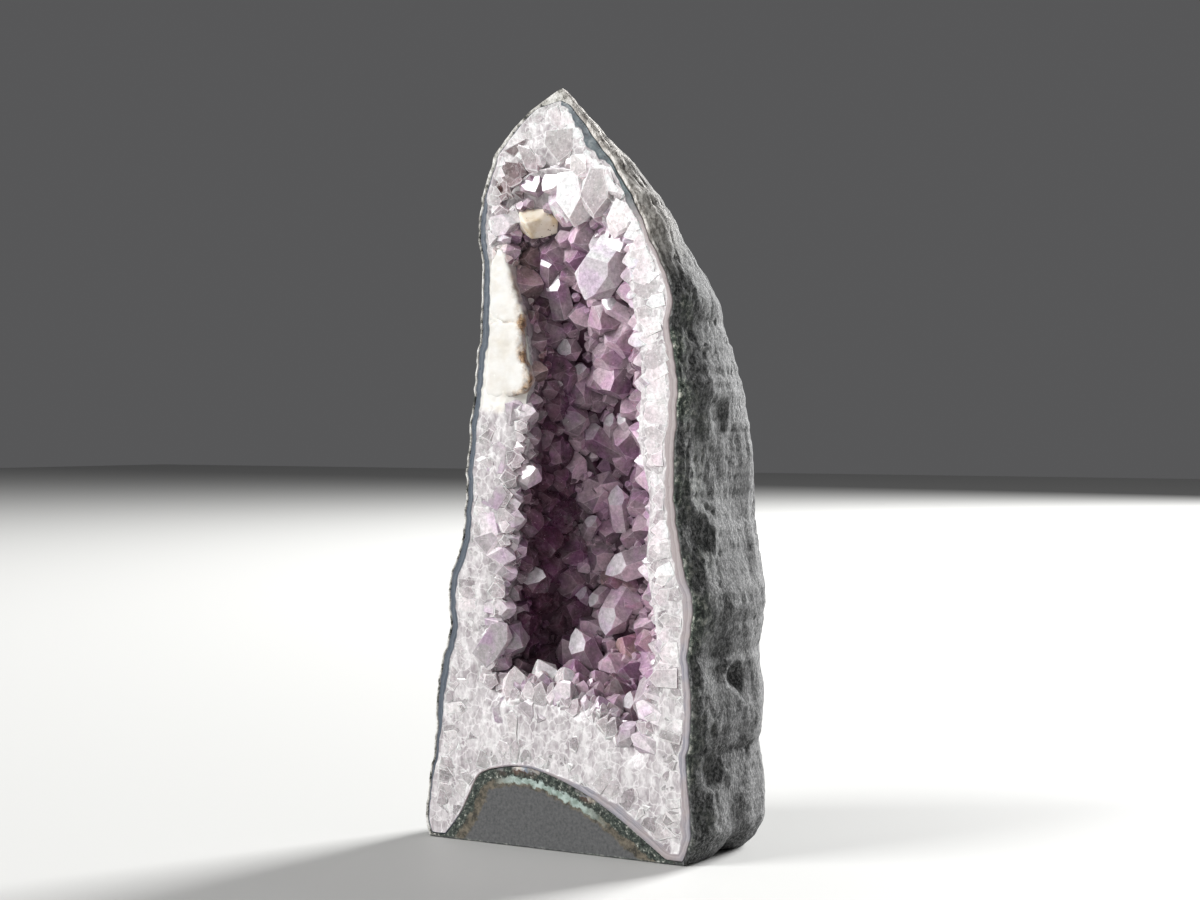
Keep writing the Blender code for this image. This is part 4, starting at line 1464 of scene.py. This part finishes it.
def quartz_material(name, clear, milky, frosted, absorption, density, edge_light, edge_colour, lines, violet):
    """Quartz that is see-through where it is clear and white where it is veiled or worn.

    clear and milky are how see-through it is, frosted is its range of roughness, edge_light is
    the strength of its worn edges, lines that of its healed cracks, and violet its colour zones.
    """
    shader = Shader(name)
    tint = shader.attribute("tint", "Color")
    veil = shader.noise(230, 5, 0.65)
    zones = shader.times(shader.patches((115, 3, 0.5), 0.46, 0.62), shader.levels(tint, 0.25, 0.60, 1, 0.35))
    body = shader.mix(zones, tint, shader.mix(1.0, tint, violet, "MULTIPLY"))
    milk = tuple(0.16 * part for part in edge_colour)
    body = shader.mix(shader.levels(veil, 0.50, 0.72), body, milk, "SCREEN")
    body = shader.mix(1.0, body, shader.patches((520, 6, 0.75), 0.36, 0.64, 0.68, 1.18), "MULTIPLY")
    net = shader.cells(210, "DISTANCE_TO_EDGE", (260, 5 * MM))
    body = shader.mix(shader.levels(net, 0.0, 0.045, lines, 0), body, (0.74, 0.71, 0.73))
    edges = shader.levels(shader.attribute("tint", "Alpha"), 0.1, 1.0, 0, edge_light)
    edges = shader.times(edges, shader.levels(tint, 0.10, 0.36, 0.12, 1))
    shader.set("Base Color", shader.mix(edges, body, edge_colour))
    shader.set("Roughness", shader.patches((600, 3), 0.35, 0.7, *frosted))
    shader.set("IOR", 1.54)
    see_through = shader.levels(veil, 0.35, 0.75, clear, milky)
    for limits in ((tint, 0.18, 0.50, 1, 0.5), (tint, 0.48, 0.70, 1, 0.2), (edges, 0, 1, 1, 0.1)):
        see_through = shader.times(see_through, shader.levels(*limits))
    shader.set("Transmission Weight", see_through)
    shader.soften(0.45, (1.0, 0.75, 0.82), 5 * MM)
    absorbed = shader.node("VolumeAbsorption", {"Color": absorption, "Density": density})[0]
    shader.link(absorbed, shader.tree.nodes["Material Output"].inputs["Volume"])
    shader.bump(shader.noise(350, 4, 0.6), 0.05, 0.3 * MM)
    return shader.material


def cream_material():
    shader = Shader("cream_calcite")
    cream = shader.mottle((90, 5, 0.6), (0.35, (0.57, 0.54, 0.49)), (0.55, (0.63, 0.615, 0.585)),
                          (0.70, (0.65, 0.645, 0.625)))
    stain = shader.mottle((380, 5, 0.7), (0.42, (0.10, 0.055, 0.03)), (0.55, (0.38, 0.24, 0.13)),
                          (0.68, (0.62, 0.50, 0.36)))
    share = shader.times(shader.attribute("stained"), shader.patches((150, 4, 0.7), 0.40, 0.62, 0.0, 1.2))
    shader.set("Base Color", shader.mix(share, cream, stain))
    shader.set("Roughness", 0.45)
    shader.soften(0.3, (1.0, 0.85, 0.65), 2 * MM)
    shader.bump(shader.noise(500, 4, 0.6), 0.3, 0.4 * MM)
    return shader.material


def calcite_material():
    shader = Shader("calcite")
    body = shader.mottle((110, 4), (0.40, (0.56, 0.45, 0.30)), (0.52, (0.72, 0.66, 0.56)))
    spots = shader.levels(shader.cells(420), 0.08, 0.14)
    shader.set("Base Color", shader.mix(spots, (0.12, 0.07, 0.04), body))
    shader.set("Roughness", 0.35)
    shader.soften(0.4, (1.0, 0.8, 0.5), 3 * MM)
    return shader.material


# Stage

def look_along(made, way):
    made.rotation_euler = way.to_track_quat("-Z", "Y").to_euler()


def add_light(name, direction, size, power):
    light = bpy.data.lights.new(name, "AREA")
    light.shape = "SQUARE"
    light.size = size
    light.energy = power
    made = new_object(name, light)
    middle = Vector((0, 0, HEIGHT / 2))
    made.location = middle + direction.normalized() * LIGHT_DISTANCE
    look_along(made, middle - made.location)


def make_stage():
    bm = bmesh.new()
    bmesh.ops.create_grid(bm, x_segments=1, y_segments=1, size=6)
    floor = mesh_object("floor", bm)
    floor.location.z = -0.2 * MM
    shader = Shader("floor")
    shader.set("Base Color", (0.44, 0.44, 0.43))
    shader.set("Roughness", 0.6)
    floor.data.materials.append(shader.material)
    for row in LIGHTS:
        add_light(*row)
    world = bpy.data.worlds.new("studio")
    bpy.context.scene.world = world
    world.use_nodes = True
    background = world.node_tree.nodes["Background"].inputs
    background["Color"].default_value = (0.80, 0.80, 0.82, 1)
    background["Strength"].default_value = 0.12
    bpy.context.scene.view_settings.view_transform = "Standard"


def make_camera():
    lens = bpy.data.cameras.new("camera")
    lens.lens = CAMERA_LENS
    lens.sensor_width = CAMERA_SENSOR
    camera = new_object("camera", lens)
    camera.location = CAMERA_PLACE + FACE_ORIGIN
    level = math.cos(CAMERA_PITCH)
    ahead = (math.sin(CAMERA_YAW) * level, math.cos(CAMERA_YAW) * level, math.sin(CAMERA_PITCH))
    look_along(camera, Vector(ahead))
    bpy.context.scene.camera = camera


def place_piece(piece, material, node="crystal_crust"):
    piece.data.transform(Matrix.Translation(FACE_ORIGIN))
    piece.data.materials.clear()
    piece.data.materials.append(material)
    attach(piece, "root")
    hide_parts(node)


def main():
    make_camera()
    make_stage()
    rng = np.random.default_rng(SEED)
    outer = spaced(inset(spaced(crust_edge(), RING_STEP, True), PIECE_GAP), RING_STEP, True)
    rock = make_rock(rng)
    crust = make_crust(outer, rng)
    rim = make_rim_crystals(outer)
    hollow = make_hollow_crystals()
    calcite = make_calcite()
    cream = make_cream_calcite(rng)
    for piece in (rock, crust, cream):
        piece.data.shade_smooth()
    milky = quartz_material("milky_rim_quartz", 0.65, 0.15, (0.10, 0.34), (0.92, 0.84, 0.88), 30, 0.65,
                            (0.92, 0.90, 0.90), 0.5, (0.93, 0.84, 0.90))
    purple = quartz_material("amethyst", 0.75, 0.35, (0.05, 0.28), (0.64, 0.27, 0.42), 70, 0.35,
                             (0.75, 0.64, 0.72), 0.12, (0.88, 0.56, 0.92))
    place_piece(rock, basalt_material(), "basalt_matrix")
    place_piece(crust, crust_material())
    place_piece(rim, milky)
    place_piece(hollow, purple)
    place_piece(calcite, calcite_material())
    place_piece(cream, cream_material())


main()
